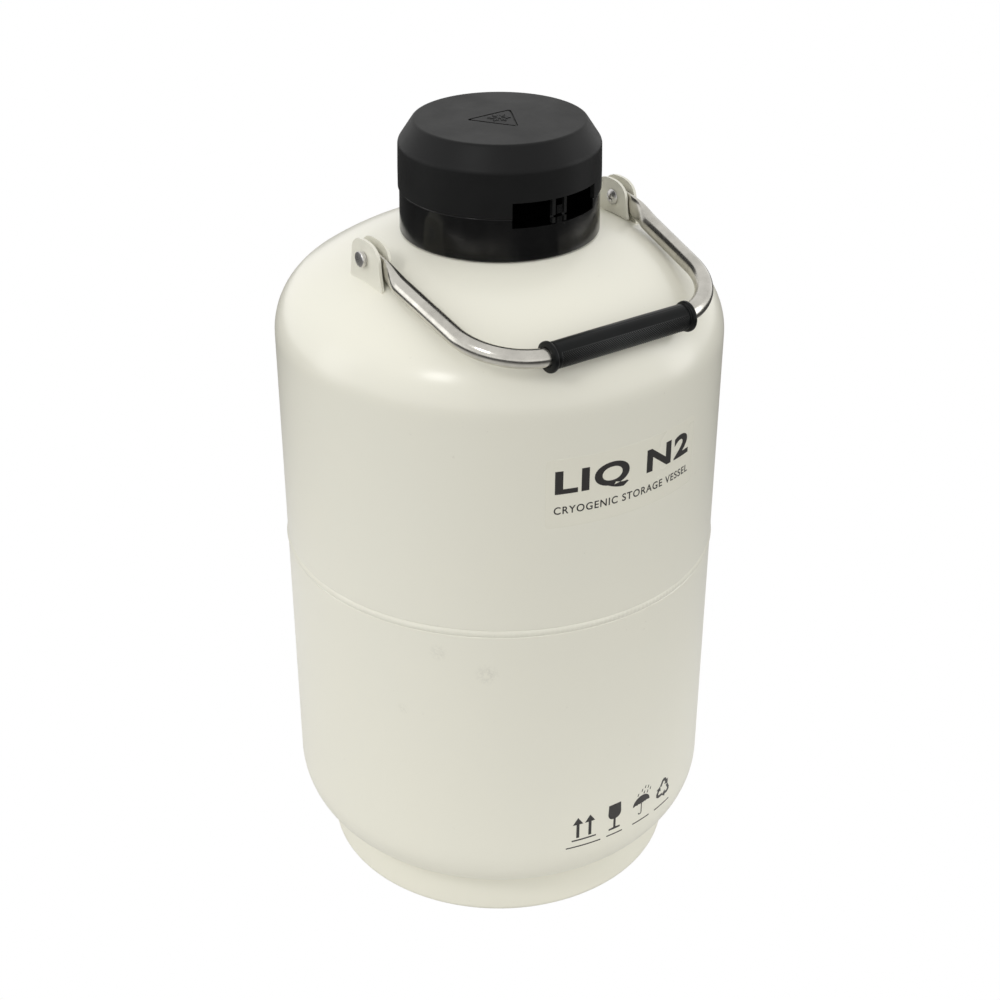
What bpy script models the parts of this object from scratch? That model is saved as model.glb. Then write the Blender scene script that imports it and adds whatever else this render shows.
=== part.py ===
"""Liquid nitrogen storage dewar, ten-litre class, with six lift-out canisters.

+Z is up and the origin is the centre of the foot's underside. +X runs through
the right bracket of the carrying bail and -Y is the front: the bail lies down
over the front shoulder, and the lid's locking window is on the same side.
Everything is dimensioned in millimetres and scaled to metres by MM.
Profiles are closed loops of (radius, z) points.
"""

import math

import bmesh
import bpy
from mathutils import Matrix, Vector

for old in list(bpy.data.objects):
    bpy.data.objects.remove(old, do_unlink=True)

# ------------------------------------------------------------ general settings
MM = 0.001
GAP = 0.3                      # running gap between touching solids
MERGE_DISTANCE = 1e-4
SHARP_DEG = 35.0               # edges steeper than this are shaded sharp

# steps around a turned piece
OUTER_STEPS = 32
INNER_STEPS = 24
MEDIUM_STEPS = 20
SMALL_STEPS = 16
TINY_STEPS = 12
HEX_STEPS = 6
SECTOR_STEPS = 6

ORIGIN = (0.0, 0.0, 0.0)
SIDES = (("left", -1), ("right", 1))


# ------------------------------------------------------------------ materials
def material(name, colour, roughness, metallic=0.0):
    mat = bpy.data.materials.new(name)
    mat.use_nodes = True
    inputs = mat.node_tree.nodes["Principled BSDF"].inputs
    inputs["Base Color"].default_value = (*colour, 1.0)
    inputs["Roughness"].default_value = roughness
    inputs["Metallic"].default_value = metallic
    return mat


PAINT = material("cream_paint", colour=(0.74, 0.74, 0.68), roughness=0.32)
GLOSS_BLACK = material("gloss_black_plastic", colour=(0.012, 0.012, 0.012), roughness=0.12)
MATTE_BLACK = material("matte_black_plastic", colour=(0.035, 0.036, 0.036), roughness=0.5)
GRIP_BLACK = material("black_grip", colour=(0.015, 0.018, 0.018), roughness=0.45)
STEEL = material("polished_steel", colour=(0.62, 0.60, 0.57), roughness=0.12, metallic=1.0)
BARE_ALU = material("bare_aluminium", colour=(0.78, 0.78, 0.79), roughness=0.38, metallic=1.0)
FIBREGLASS = material("fibreglass_neck", colour=(0.62, 0.60, 0.38), roughness=0.45)
FOAM = material("white_foam", colour=(0.86, 0.86, 0.82), roughness=0.85)
BLANKET = material("foil_and_paper_blanket", colour=(0.75, 0.75, 0.76), roughness=0.4,
                   metallic=0.6)
SIEVE = material("molecular_sieve", colour=(0.72, 0.62, 0.45), roughness=0.9)


# ------------------------------------------------------------ points and curves
def polar(radius, degrees):
    angle = math.radians(degrees)
    return radius * math.cos(angle), radius * math.sin(angle)


def arc(centre_r, centre_z, radius, start, end, steps):
    """Points of an arc in the (r, z) half plane, angles in degrees."""
    points = []
    for i in range(steps + 1):
        r, z = polar(radius, start + (end - start) * i / steps)
        points.append((centre_r + r, centre_z + z))
    return points


def rectangle(inner_r, outer_r, low, high):
    """Profile of a plain ring, or of a cylinder where inner_r is 0."""
    return [(inner_r, low), (outer_r, low), (outer_r, high), (inner_r, high)]


def dished_base(radius, knuckle_r, tangent_z, wall, rim, steps):
    """Profile of a flat-bottomed cup with a rounded corner; rim runs outside to inside."""
    centre_r = radius - knuckle_r
    bottom_z = tangent_z - knuckle_r
    return ([(0, bottom_z)] + arc(centre_r, tangent_z, knuckle_r, -90, 0, steps) + rim
            + arc(centre_r, tangent_z, knuckle_r - wall, 0, -90, steps) + [(0, bottom_z + wall)])


def signed_power(value, power):
    return math.copysign(abs(value) ** power, value) if abs(value) > 1e-9 else 0.0


def smoothstep(t):
    return t * t * (3 - 2 * t)


# -------------------------------------------------------------------- modelling
def finish(name, shape, mat):
    """Turn a bmesh in millimetres into a mesh object in metres, faces outward."""
    bmesh.ops.remove_doubles(shape, verts=shape.verts, dist=MERGE_DISTANCE)
    bmesh.ops.recalc_face_normals(shape, faces=shape.faces)
    shape.transform(Matrix.Scale(MM, 4))
    mesh = bpy.data.meshes.new(name)
    shape.to_mesh(mesh)
    shape.free()
    mesh.shade_smooth()
    mesh.set_sharp_from_angle(angle=math.radians(SHARP_DEG))
    obj = bpy.data.objects.new(name, mesh)
    bpy.context.scene.collection.objects.link(obj)
    if mat:
        mesh.materials.append(mat)
    return obj


def spun(profile, steps, axis="Z"):
    """Bmesh of a closed profile turned about an axis; about X, profile z runs along +X."""
    shape = bmesh.new()
    verts = [shape.verts.new((r, 0.0, z)) for r, z in profile]
    edges = []
    for vert, following in zip(verts, verts[1:] + verts[:1]):
        on_axis = abs(vert.co.x) < 1e-6 and abs(following.co.x) < 1e-6
        if not on_axis:
            edges.append(shape.edges.new((vert, following)))
    bmesh.ops.spin(shape, geom=verts + edges, cent=(0, 0, 0), axis=(0, 0, 1),
                   angle=math.tau, steps=steps, use_merge=True)
    if axis == "X":
        shape.transform(Matrix.Rotation(math.radians(90), 4, "Y"))
    return shape


def turned(name, profile, steps, mat=None, at=ORIGIN, axis="Z"):
    shape = spun(profile, steps, axis)
    bmesh.ops.translate(shape, verts=shape.verts, vec=at)
    return finish(name, shape, mat)


def prism(name, points, low, high, mat=None, plane="XY"):
    """Polygon extruded between low and high along the plane's third axis."""
    place = {"XY": lambda a, b, c: (a, b, c),
             "YZ": lambda a, b, c: (c, a, b),
             "XZ": lambda a, b, c: (a, c, b)}[plane]
    shape = bmesh.new()
    face = shape.faces.new([shape.verts.new(place(a, b, low)) for a, b in points])
    top = bmesh.ops.extrude_face_region(shape, geom=[face])["geom"]
    bmesh.ops.translate(shape, verts=[g for g in top if isinstance(g, bmesh.types.BMVert)],
                        vec=Vector(place(0, 0, high - low)))
    return finish(name, shape, mat)


def box(name, low, high):
    corners = [(low[0], low[1]), (high[0], low[1]), (high[0], high[1]), (low[0], high[1])]
    return prism(name, corners, low[2], high[2])


def sector(name, inner_r, outer_r, low, high, mid_deg, half_deg):
    """Annular sector block."""
    angles = [mid_deg - half_deg + 2 * half_deg * i / SECTOR_STEPS
              for i in range(SECTOR_STEPS + 1)]
    points = [polar(outer_r, angle) for angle in angles]
    points += [polar(inner_r, angle) for angle in reversed(angles)]
    return prism(name, points, low, high)


def loft(loops):
    """Bmesh of a capped tube through loops of points, all of one length."""
    shape = bmesh.new()
    rings = [[shape.verts.new(point) for point in loop] for loop in loops]
    count = len(rings[0])
    for one, two in zip(rings, rings[1:]):
        for j in range(count):
            k = (j + 1) % count
            shape.faces.new((one[j], one[k], two[k], two[j]))
    shape.faces.new(rings[0])
    shape.faces.new(list(reversed(rings[-1])))
    return shape


def boolean(obj, tool, operation):
    """Live boolean with a hidden tool object."""
    tool.hide_render = True
    tool.display_type = "WIRE"
    tool.hide_set(True)
    modifier = obj.modifiers.new(operation.lower(), "BOOLEAN")
    modifier.operation = operation
    modifier.solver = "EXACT"
    modifier.object = tool


def cut(obj, tool):
    boolean(obj, tool, "DIFFERENCE")


def join(obj, tool):
    boolean(obj, tool, "UNION")


# ----------------------------------------------- outer shell: spun aluminium
BODY_R = 151.5                 # outside radius
BODY_WALL = 2.5
UPPER_TANGENT_Z = 413.1        # cylinder ends, shoulder knuckle starts
UPPER_KNUCKLE_R = 44.4
CROWN_R = 234.0                # spherical crown of the shoulder
LOWER_TANGENT_Z = 71.5
LOWER_KNUCKLE_R = 45.8
NECK_HOLE_R = 33.0             # opening in the crown
GIRTH_Z = 259.7                # girth weld between the two outer halves
SEAM_HALF = 0.2
WELD_HALF = 3.2
WELD_PROUD = 1.0
WELD_ROOT = 1.7                # depth of the bevel under the weld
KNUCKLE_STEPS = 5
CROWN_STEPS = 4

KNUCKLE_CENTRE_R = BODY_R - UPPER_KNUCKLE_R
CROWN_DROP = math.sqrt((CROWN_R - UPPER_KNUCKLE_R) ** 2 - KNUCKLE_CENTRE_R ** 2)
CROWN_CENTRE_Z = UPPER_TANGENT_Z - CROWN_DROP

PORT_Y = 60.0                  # vacuum port in the base, behind the centre
PORT_AT = (0.0, PORT_Y, 0.0)
PORT_HOLE_R = 7.3


def crown_z(r):
    """Height of the shoulder's outer surface at radius r, on the spherical crown."""
    return CROWN_CENTRE_Z + math.sqrt(CROWN_R ** 2 - r * r)


def shoulder(inset):
    """Profile from the cylinder up the knuckle and over the crown to the neck hole."""
    blend = math.degrees(math.atan2(CROWN_DROP, KNUCKLE_CENTRE_R))
    top = math.degrees(math.acos(NECK_HOLE_R / (CROWN_R - inset)))
    knuckle = arc(KNUCKLE_CENTRE_R, UPPER_TANGENT_Z, UPPER_KNUCKLE_R - inset,
                  0, blend, KNUCKLE_STEPS)
    crown = arc(0, CROWN_CENTRE_Z, CROWN_R - inset, blend, top, CROWN_STEPS)
    return knuckle + crown[1:]


def girth_edge(direction):
    """Bevelled edge at the girth weld, outside to inside; direction is the half's side in z."""
    seam_z = GIRTH_Z + direction * SEAM_HALF
    return [(BODY_R, GIRTH_Z + direction * WELD_HALF), (BODY_R - WELD_ROOT, seam_z),
            (BODY_R - BODY_WALL, seam_z)]


def outer_shell():
    upper = girth_edge(1)[::-1] + shoulder(0) + shoulder(BODY_WALL)[::-1]
    turned("outer_shell_upper", upper, OUTER_STEPS, PAINT)
    lower = dished_base(BODY_R, LOWER_KNUCKLE_R, LOWER_TANGENT_Z, BODY_WALL,
                        girth_edge(-1), KNUCKLE_STEPS)
    shell = turned("outer_shell_lower", lower, OUTER_STEPS, PAINT)
    cut(shell, turned("port_hole", rectangle(0, PORT_HOLE_R, 15, 40), SMALL_STEPS, at=PORT_AT))


def girth_weld():
    # (radius beyond the body, height from the weld's middle)
    bead = [(-1.2, 0.0), (0.35, -WELD_HALF + 0.25), (WELD_PROUD, -1.4),
            (WELD_PROUD, 1.4), (0.35, WELD_HALF - 0.25)]
    turned("girth_weld_bead", [(BODY_R + r, GIRTH_Z + z) for r, z in bead], OUTER_STEPS, PAINT)


# foot skirt
FOOT_R = 128.6
FOOT_TOP_R = 122.9
FOOT_TOP_Z = 27.7
FOOT_LIP_R = 112.0
FOOT_LIP_T = 3.0
FOOT_WALL = 2.5


def foot_ring():
    turned("foot_ring", [
        (FOOT_LIP_R, 0), (FOOT_R - 3.6, 0), (FOOT_R - 0.9, 1.2), (FOOT_R, 4.2),
        (FOOT_TOP_R, FOOT_TOP_Z), (FOOT_TOP_R - FOOT_WALL, FOOT_TOP_Z),
        (FOOT_R - FOOT_WALL - 0.3, 4.6), (FOOT_R - 4.6, FOOT_LIP_T),
        (FOOT_LIP_R, FOOT_LIP_T)], OUTER_STEPS, PAINT)


# vacuum port pieces: name, material, profile
PORT_PIECES = (
    ("vacuum_port_body", BARE_ALU,
     [(4.0, 22.0), (11.0, 22.0), (11.0, 25.4), (7.0, 25.4), (7.0, 32.0), (4.0, 32.0)]),
    ("vacuum_plug", BARE_ALU,
     [(0, 18.4), (6.0, 18.4), (6.0, 21.7), (3.6, 21.7), (3.6, 30.0), (0, 30.0)]),
    ("vacuum_port_cover", MATTE_BLACK,
     [(0, 14.6), (13.4, 14.6), (14.0, 15.2), (14.0, 25.2), (12.0, 25.2), (12.0, 16.6),
      (0, 16.6)]),
)


def vacuum_port():
    for name, mat, profile in PORT_PIECES:
        turned(name, profile, SMALL_STEPS, mat, PORT_AT)


# ------------------------------------------------------------------------ neck
NECK_R = 25.0                  # bore
NECK_WALL = 2.0
NECK_TOP_Z = 492.7
NECK_BOTTOM_Z = 300.5
FLANGE_BORE_R = NECK_R + NECK_WALL + GAP
FLANGE_BOTTOM_Z = 478.0
FLANGE_RIM_Z = 489.0           # underside of the flange's rim
FLANGE_TOP_Z = 493.0
FLANGE_RIM_R = 40.0

# inner vessel
INNER_R = 123.0
INNER_WALL = 1.5
INNER_KNUCKLE_R = 40.0
INNER_BOTTOM_Z = 56.0
INNER_TOP_Z = 308.0
INNER_GIRTH_Z = 182.0
INNER_SEAM_HALF = 0.15
INNER_HOLE_R = 30.5
INNER_KNUCKLE_STEPS = 4
INNER_CENTRE_R = INNER_R - INNER_KNUCKLE_R
INNER_UPPER_Z = INNER_TOP_Z - INNER_KNUCKLE_R      # upper tangent
INNER_LOWER_Z = INNER_BOTTOM_Z + INNER_KNUCKLE_R   # lower tangent

# insulation blanket around the inner vessel
BLANKET_R = 143.0
BLANKET_KNUCKLE_R = 50.0
BLANKET_BOTTOM_Z = 36.0
BLANKET_TOP_Z = 332.0
BLANKET_BASE_HOLE_R = 56.0
BLANKET_NECK_HOLE_R = 37.0
BLANKET_CLEARANCE = 1.5
BLANKET_STEPS = 3


def neck():
    bore, body_r = FLANGE_BORE_R, NECK_HOLE_R - GAP
    turned("neck_flange", [
        (bore, FLANGE_BOTTOM_Z), (body_r, FLANGE_BOTTOM_Z), (body_r, FLANGE_RIM_Z),
        (FLANGE_RIM_R, FLANGE_RIM_Z), (FLANGE_RIM_R, FLANGE_TOP_Z), (bore, FLANGE_TOP_Z)],
        INNER_STEPS, BARE_ALU)
    turned("neck_tube", rectangle(NECK_R, NECK_R + NECK_WALL, NECK_BOTTOM_Z, NECK_TOP_Z),
           INNER_STEPS, FIBREGLASS)
    seat_r, seat_z = INNER_HOLE_R - GAP, INNER_TOP_Z + GAP
    turned("inner_neck_flange", [
        (bore, NECK_BOTTOM_Z), (seat_r, NECK_BOTTOM_Z), (seat_r, seat_z), (34.0, seat_z),
        (34.0, 311.0), (31.0, 313.0), (31.0, 322.0), (bore, 322.0)], INNER_STEPS, BARE_ALU)


def inner_vessel():
    seam_z = INNER_GIRTH_Z + INNER_SEAM_HALF
    upper = [(INNER_R - INNER_WALL, seam_z), (INNER_R, seam_z)]
    upper += arc(INNER_CENTRE_R, INNER_UPPER_Z, INNER_KNUCKLE_R, 0, 90, INNER_KNUCKLE_STEPS)
    upper += [(INNER_HOLE_R, INNER_TOP_Z), (INNER_HOLE_R, INNER_TOP_Z - INNER_WALL)]
    upper += arc(INNER_CENTRE_R, INNER_UPPER_Z, INNER_KNUCKLE_R - INNER_WALL, 90, 0,
                 INNER_KNUCKLE_STEPS)
    turned("inner_vessel_upper", upper, INNER_STEPS, BARE_ALU)

    seam_z = INNER_GIRTH_Z - INNER_SEAM_HALF
    rim = [(INNER_R, seam_z), (INNER_R - INNER_WALL, seam_z)]
    lower = dished_base(INNER_R, INNER_KNUCKLE_R, INNER_LOWER_Z, INNER_WALL, rim,
                        INNER_KNUCKLE_STEPS)
    turned("inner_vessel_lower", lower, INNER_STEPS, BARE_ALU)


def insulation_blanket():
    centre_r = BLANKET_R - BLANKET_KNUCKLE_R
    inside_r = INNER_KNUCKLE_R + BLANKET_CLEARANCE
    profile = [(BLANKET_BASE_HOLE_R, BLANKET_BOTTOM_Z)]
    profile += arc(centre_r, BLANKET_BOTTOM_Z + BLANKET_KNUCKLE_R, BLANKET_KNUCKLE_R,
                   -90, 0, BLANKET_STEPS)
    profile += arc(centre_r, BLANKET_TOP_Z - BLANKET_KNUCKLE_R, BLANKET_KNUCKLE_R,
                   0, 90, BLANKET_STEPS)
    profile += [(BLANKET_NECK_HOLE_R, BLANKET_TOP_Z),
                (BLANKET_NECK_HOLE_R, INNER_TOP_Z + BLANKET_CLEARANCE)]
    profile += arc(INNER_CENTRE_R, INNER_UPPER_Z, inside_r, 90, 0, BLANKET_STEPS)
    profile += arc(INNER_CENTRE_R, INNER_LOWER_Z, inside_r, 0, -90, BLANKET_STEPS)
    profile += [(BLANKET_BASE_HOLE_R, INNER_BOTTOM_Z - BLANKET_CLEARANCE)]
    turned("insulation_blanket", profile, INNER_STEPS, BLANKET)


def adsorbent():
    """Tray of molecular sieve under the inner vessel."""
    turned("adsorbent_tray", [(0, 38.0), (50.0, 38.0), (50.0, 54.0), (49.0, 54.0),
                              (49.0, 39.0), (0, 39.0)], MEDIUM_STEPS, BARE_ALU)
    turned("adsorbent_pack", [(0, 39.4), (48.4, 39.4), (48.4, 51.0), (46.0, 53.0), (0, 53.0)],
           MEDIUM_STEPS, SIEVE)


# ------------------------------------------------------------------- canisters
CANISTERS = 6
CANISTER_PITCH_DEG = 60
CAN_R = 19.0
CAN_WALL = 1.0
CAN_H = 120.0
CAN_HOLE_R = 3.0               # hole in the bucket's floor
CAN_PITCH_R = 41.0
CAN_BOTTOM_Z = 62.5
ROD_R = 1.5
ROD_PITCH_R = 20.2
ROD_BOTTOM_Z = 72.0
ROD_BEND_R = 3.0
ROD_AROUND = 8
HOOK_Z = 498.8                 # rod axis along the top of the hook
HOOK_R = 38.5
HOOK_TIP_Z = 494.4

SPIDER_INNER_R = 8.0
SPIDER_OUTER_R = 58.0
SPIDER_HALF_T = 0.75
SPIDER_TOP_Z = 74.0

RING_BOTTOM_Z = FLANGE_TOP_Z + GAP
RING_TOP_Z = 501.4
RING_R = 36.0
NOTCH_LOW = (24.0, -2.1, 497.0)
NOTCH_HIGH = (39.0, 2.1, 503.0)


def canister_spider():
    """Six-armed star on the inner vessel's floor, its arms between the canisters."""
    star = []
    for k in range(CANISTERS):
        cos, sin = polar(1.0, CANISTER_PITCH_DEG / 2 + CANISTER_PITCH_DEG * k)
        for r, off in rectangle(SPIDER_INNER_R, SPIDER_OUTER_R, -SPIDER_HALF_T, SPIDER_HALF_T):
            star.append((r * cos - off * sin, r * sin + off * cos))
    prism("canister_spider", star, INNER_BOTTOM_Z + INNER_WALL + GAP, SPIDER_TOP_Z, BARE_ALU)


def index_ring():
    """Ring on the neck flange with one notch per canister rod."""
    ring = turned("index_ring", [
        (FLANGE_BORE_R, RING_BOTTOM_Z), (RING_R, RING_BOTTOM_Z), (RING_R, RING_TOP_Z - 0.8),
        (RING_R - 0.8, RING_TOP_Z), (FLANGE_BORE_R + 0.6, RING_TOP_Z),
        (FLANGE_BORE_R, RING_TOP_Z - 0.6)], INNER_STEPS, MATTE_BLACK)
    for k in range(CANISTERS):
        notch = box(f"notch_{k + 1}", NOTCH_LOW, NOTCH_HIGH)
        notch.rotation_euler = (0, 0, math.radians(CANISTER_PITCH_DEG * k))
        cut(ring, notch)


def canister_bucket(name, at):
    inside_r, top_z = CAN_R - CAN_WALL, CAN_BOTTOM_Z + CAN_H
    floor_z = CAN_BOTTOM_Z + CAN_WALL
    turned(name, [
        (CAN_HOLE_R, CAN_BOTTOM_Z), (CAN_R - 0.6, CAN_BOTTOM_Z), (CAN_R, CAN_BOTTOM_Z + 0.8),
        (CAN_R, top_z), (inside_r, top_z), (inside_r, floor_z), (CAN_HOLE_R, floor_z)],
        TINY_STEPS, BARE_ALU, at)


def canister_rod(name, turn_deg):
    """Round rod up the axis side of a canister, hooked outwards over the index ring."""
    bend_z = HOOK_Z - ROD_BEND_R
    # (radius, z, angle from straight up)
    path = [(ROD_PITCH_R, ROD_BOTTOM_Z, 0.0), (ROD_PITCH_R, bend_z, 0.0)]
    for i in range(1, 4):
        angle = math.radians(30 * i)
        path.append((ROD_PITCH_R + ROD_BEND_R * (1 - math.cos(angle)),
                     bend_z + ROD_BEND_R * math.sin(angle), angle))
    for i in range(4):
        angle = math.radians(30 * i)
        path.append((HOOK_R - ROD_BEND_R + ROD_BEND_R * math.sin(angle),
                     bend_z + ROD_BEND_R * math.cos(angle), math.pi / 2 + angle))
    path.append((HOOK_R, HOOK_TIP_Z, math.pi))

    loops = []
    for r, z, angle in path:
        across = Vector((math.cos(angle), 0.0, -math.sin(angle)))
        loop = []
        for j in range(ROD_AROUND):
            turn = math.tau * j / ROD_AROUND
            loop.append(Vector((r, 0, z)) + across * (ROD_R * math.cos(turn))
                        + Vector((0, ROD_R * math.sin(turn), 0)))
        loops.append(loop)
    shape = loft(loops)
    shape.transform(Matrix.Rotation(math.radians(turn_deg), 4, "Z"))
    finish(name, shape, STEEL)


def canisters():
    for k in range(CANISTERS):
        angle = CANISTER_PITCH_DEG * k
        canister_bucket(f"canister_{k + 1}_bucket", (*polar(CAN_PITCH_R, angle), 0.0))
        canister_rod(f"canister_{k + 1}_rod", angle)


# ------------------------------------------------- glossy neck collar and its lock
COLLAR_BOTTOM_R = 65.9
COLLAR_BOTTOM_Z = 482.3
COLLAR_TOP_R = 65.4
COLLAR_TOP_Z = 510.6
COLLAR_BORE_R = 42.5
COLLAR_FLOOR_Z = 492.5
SPIGOT_R = 62.5
SPIGOT_BORE_R = 59.0
SPIGOT_TOP_Z = 516.6
SPIGOT_CHAMFER = 0.8

LOCK_MID_DEG = -88.6           # direction of the locking window's middle
LOCK_HALF_DEG = 29.2
LOCK_TOP_Z = 521.0
LOCK_FLOOR_Z = 504.3
LOCK_OUTER_R = 72.0            # window cutters end outside the collar and lid
SEAL_HOLE_Z = 509.5            # hole through the collar's lug and the lid's tabs

STUD_PITCH_R = 52.0
STUD_SEAT_R = 49.0             # the studs start at the crown's height here
STUD_R = 2.5
STUD_HOLE_R = 2.8
STUD_TOP_Z = 497.5
STUD_PLACES = [(*polar(STUD_PITCH_R, degrees), 0.0) for degrees in (30, 150, 270)]


def seal_hole(name, y):
    return turned(name, rectangle(0, 1.3, -12, 12), TINY_STEPS, at=(0.0, y, SEAL_HOLE_Z), axis="X")


def neck_collar():
    collar = turned("neck_collar", [
        (COLLAR_BOTTOM_R, COLLAR_BOTTOM_Z), (COLLAR_TOP_R, COLLAR_TOP_Z),
        (SPIGOT_R, COLLAR_TOP_Z), (SPIGOT_R, SPIGOT_TOP_Z - SPIGOT_CHAMFER),
        (SPIGOT_R - SPIGOT_CHAMFER, SPIGOT_TOP_Z), (SPIGOT_BORE_R, SPIGOT_TOP_Z),
        (SPIGOT_BORE_R, COLLAR_FLOOR_Z), (COLLAR_BORE_R, COLLAR_FLOOR_Z),
        (COLLAR_BORE_R, 487.5), (53.5, 485.3)], OUTER_STEPS, GLOSS_BLACK)
    join(collar, sector("pocket_wall", 49.5, 60.0, 501.8, 516.0,
                        LOCK_MID_DEG, LOCK_HALF_DEG + 2.2))
    cut(collar, sector("collar_window", 52.0, LOCK_OUTER_R, LOCK_FLOOR_Z, 519.0,
                       LOCK_MID_DEG, LOCK_HALF_DEG))
    join(collar, box("lock_lug", (-1.8, -66.0, LOCK_FLOOR_Z - 1.0), (2.6, -61.0, 516.0)))
    cut(collar, seal_hole("lug_hole", -64.4))
    for k, place in enumerate(STUD_PLACES, start=1):
        cut(collar, turned(f"stud_hole_{k}", rectangle(0, STUD_HOLE_R, 480, 499),
                           TINY_STEPS, at=place))


def collar_fixings():
    base_z = crown_z(STUD_SEAT_R) + GAP
    stud = [(0, base_z), (STUD_R, base_z), (STUD_R, STUD_TOP_Z - 0.6),
            (STUD_R - 0.4, STUD_TOP_Z), (0, STUD_TOP_Z)]
    nut_low = COLLAR_FLOOR_Z + GAP
    nut = [(3.1, nut_low), (5.0, nut_low), (5.0, 495.8), (4.6, 496.2), (3.1, 496.2)]
    for k, place in enumerate(STUD_PLACES, start=1):
        turned(f"collar_stud_{k}", stud, TINY_STEPS, BARE_ALU, place)
        turned(f"collar_nut_{k}", nut, HEX_STEPS, STEEL, place)


# ------------------------------------------------------------- matte lid and plug
LID_R = 66.3
LID_INNER_R = 63.2
LID_BOTTOM_Z = COLLAR_TOP_Z + GAP
LID_TOP_Z = 555.5
LID_TABS = (("left", -5.6, -3.1), ("right", 3.4, 5.4))   # low and high x
MARK_SIDE = 35.5               # triangular groove in the lid's top, at its middle line
MARK_OFFSET = 4.2              # the groove's two outlines differ from it by this
PLUG_R = 18.0
PLUG_BOTTOM_Z = 395.0
PLUG_FLANGE_Z = 548.7


def triangle(name, side, low, high):
    """Equilateral prism about the axis, one side parallel to X on the +Y side."""
    points = [polar(side / math.sqrt(3), degrees) for degrees in (30, 150, 270)]
    return prism(name, points, low, high)


def lid_shell():
    lid = turned("lid_shell", [
        (LID_INNER_R, LID_BOTTOM_Z), (LID_R, LID_BOTTOM_Z), (LID_R - 0.4, 535.0),
        (LID_R - 0.6, 538.0), (LID_R - 1.2, 540.9), (LID_R - 2.3, 543.2), (57.1, 553.0),
        (56.2, 554.0), (54.6, 554.6), (20.0, 555.4), (0, LID_TOP_Z), (0, 552.2),
        (52.4, 552.2), (54.0, 551.0), (60.3, 541.9), (LID_INNER_R, 537.0)],
        OUTER_STEPS, MATTE_BLACK)
    cut(lid, sector("lid_window", LID_R - 8.0, LOCK_OUTER_R, LID_BOTTOM_Z - 2.0, LOCK_TOP_Z,
                    LOCK_MID_DEG, LOCK_HALF_DEG))
    for side, low_x, high_x in LID_TABS:
        join(lid, box(f"lid_tab_{side}", (low_x, -66.2, 505.2), (high_x, -63.2, 523.0)))
    cut(lid, seal_hole("tab_hole", -64.6))
    groove = triangle("mark_groove", MARK_SIDE + MARK_OFFSET, LID_TOP_Z - 0.9, LID_TOP_Z + 1.0)
    cut(groove, triangle("mark_island", MARK_SIDE - MARK_OFFSET,
                         LID_TOP_Z - 2.0, LID_TOP_Z + 2.0))
    cut(lid, groove)


def neck_plug():
    turned("plug_flange", rectangle(0, 30.0, PLUG_FLANGE_Z, 551.9), MEDIUM_STEPS, MATTE_BLACK)
    top_z = PLUG_FLANGE_Z - GAP
    turned("neck_plug", [
        (0, PLUG_BOTTOM_Z), (PLUG_R - 2.0, PLUG_BOTTOM_Z), (PLUG_R - 0.4, PLUG_BOTTOM_Z + 2.0),
        (PLUG_R, top_z), (0, top_z)], MEDIUM_STEPS, FOAM)


# ------------------------------------------------------------- clevis brackets
PIVOT_Z = 482.5
PIVOT_X = 99.05                # mid plane of each clevis
PIN_R = 3.0
PIN_HOLE_R = 3.3
EAR_IN = 94.2                  # inner and outer faces of the clevis
EAR_OUT = 103.9
EAR_T = 2.0
EAR_HALF = 16.5                # head's half width
EAR_RISE = 12.3                # head's height above the pivot
EAR_BLANK_TOP_Z = 502.0        # above the head, before it is trimmed to outline
EAR_FOOT_HALF = 19.5
EAR_FOOT = ((17.6, 475.0), (EAR_FOOT_HALF, 466.0), (EAR_FOOT_HALF, 455.0))   # (half width, z)
EAR_SHIFT = {"left": -1.5, "right": 2.5}   # each bracket's middle along Y
EAR_HEAD_STEPS = 12
WEB_T = 1.5
SEAT_LIFT = 0.45               # bracket's height above the crown

# pivot hardware: (radius, distance from the centre plane)
PIVOT_POST = [(1.7, 94.8), (PIN_R, 94.8), (PIN_R, 105.5), (4.9, 105.5), (5.2, 105.9),
              (5.2, 107.2), (4.8, 107.6), (0, 107.6), (0, 102.5), (1.7, 102.5)]
PIVOT_SCREW = [(0, 91.6), (3.6, 91.8), (5.4, 93.0), (5.5, 93.9), (1.4, 93.9),
               (1.4, 101.5), (0, 101.5)]
PIVOT_WASHER = rectangle(3.3, 4.7, 104.2, 105.2)


def ear_outline(middle):
    """(y, z) outline of an ear: rounded head over a flared foot."""
    outline = []
    for i in range(EAR_HEAD_STEPS + 1):
        angle = math.pi * i / EAR_HEAD_STEPS
        outline.append((middle + EAR_HALF * signed_power(math.cos(angle), 0.8),
                        PIVOT_Z + EAR_RISE * signed_power(math.sin(angle), 0.85)))
    outline += [(middle - y, z) for y, z in EAR_FOOT]
    outline += [(middle + y, z) for y, z in reversed(EAR_FOOT)]
    return outline


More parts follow.
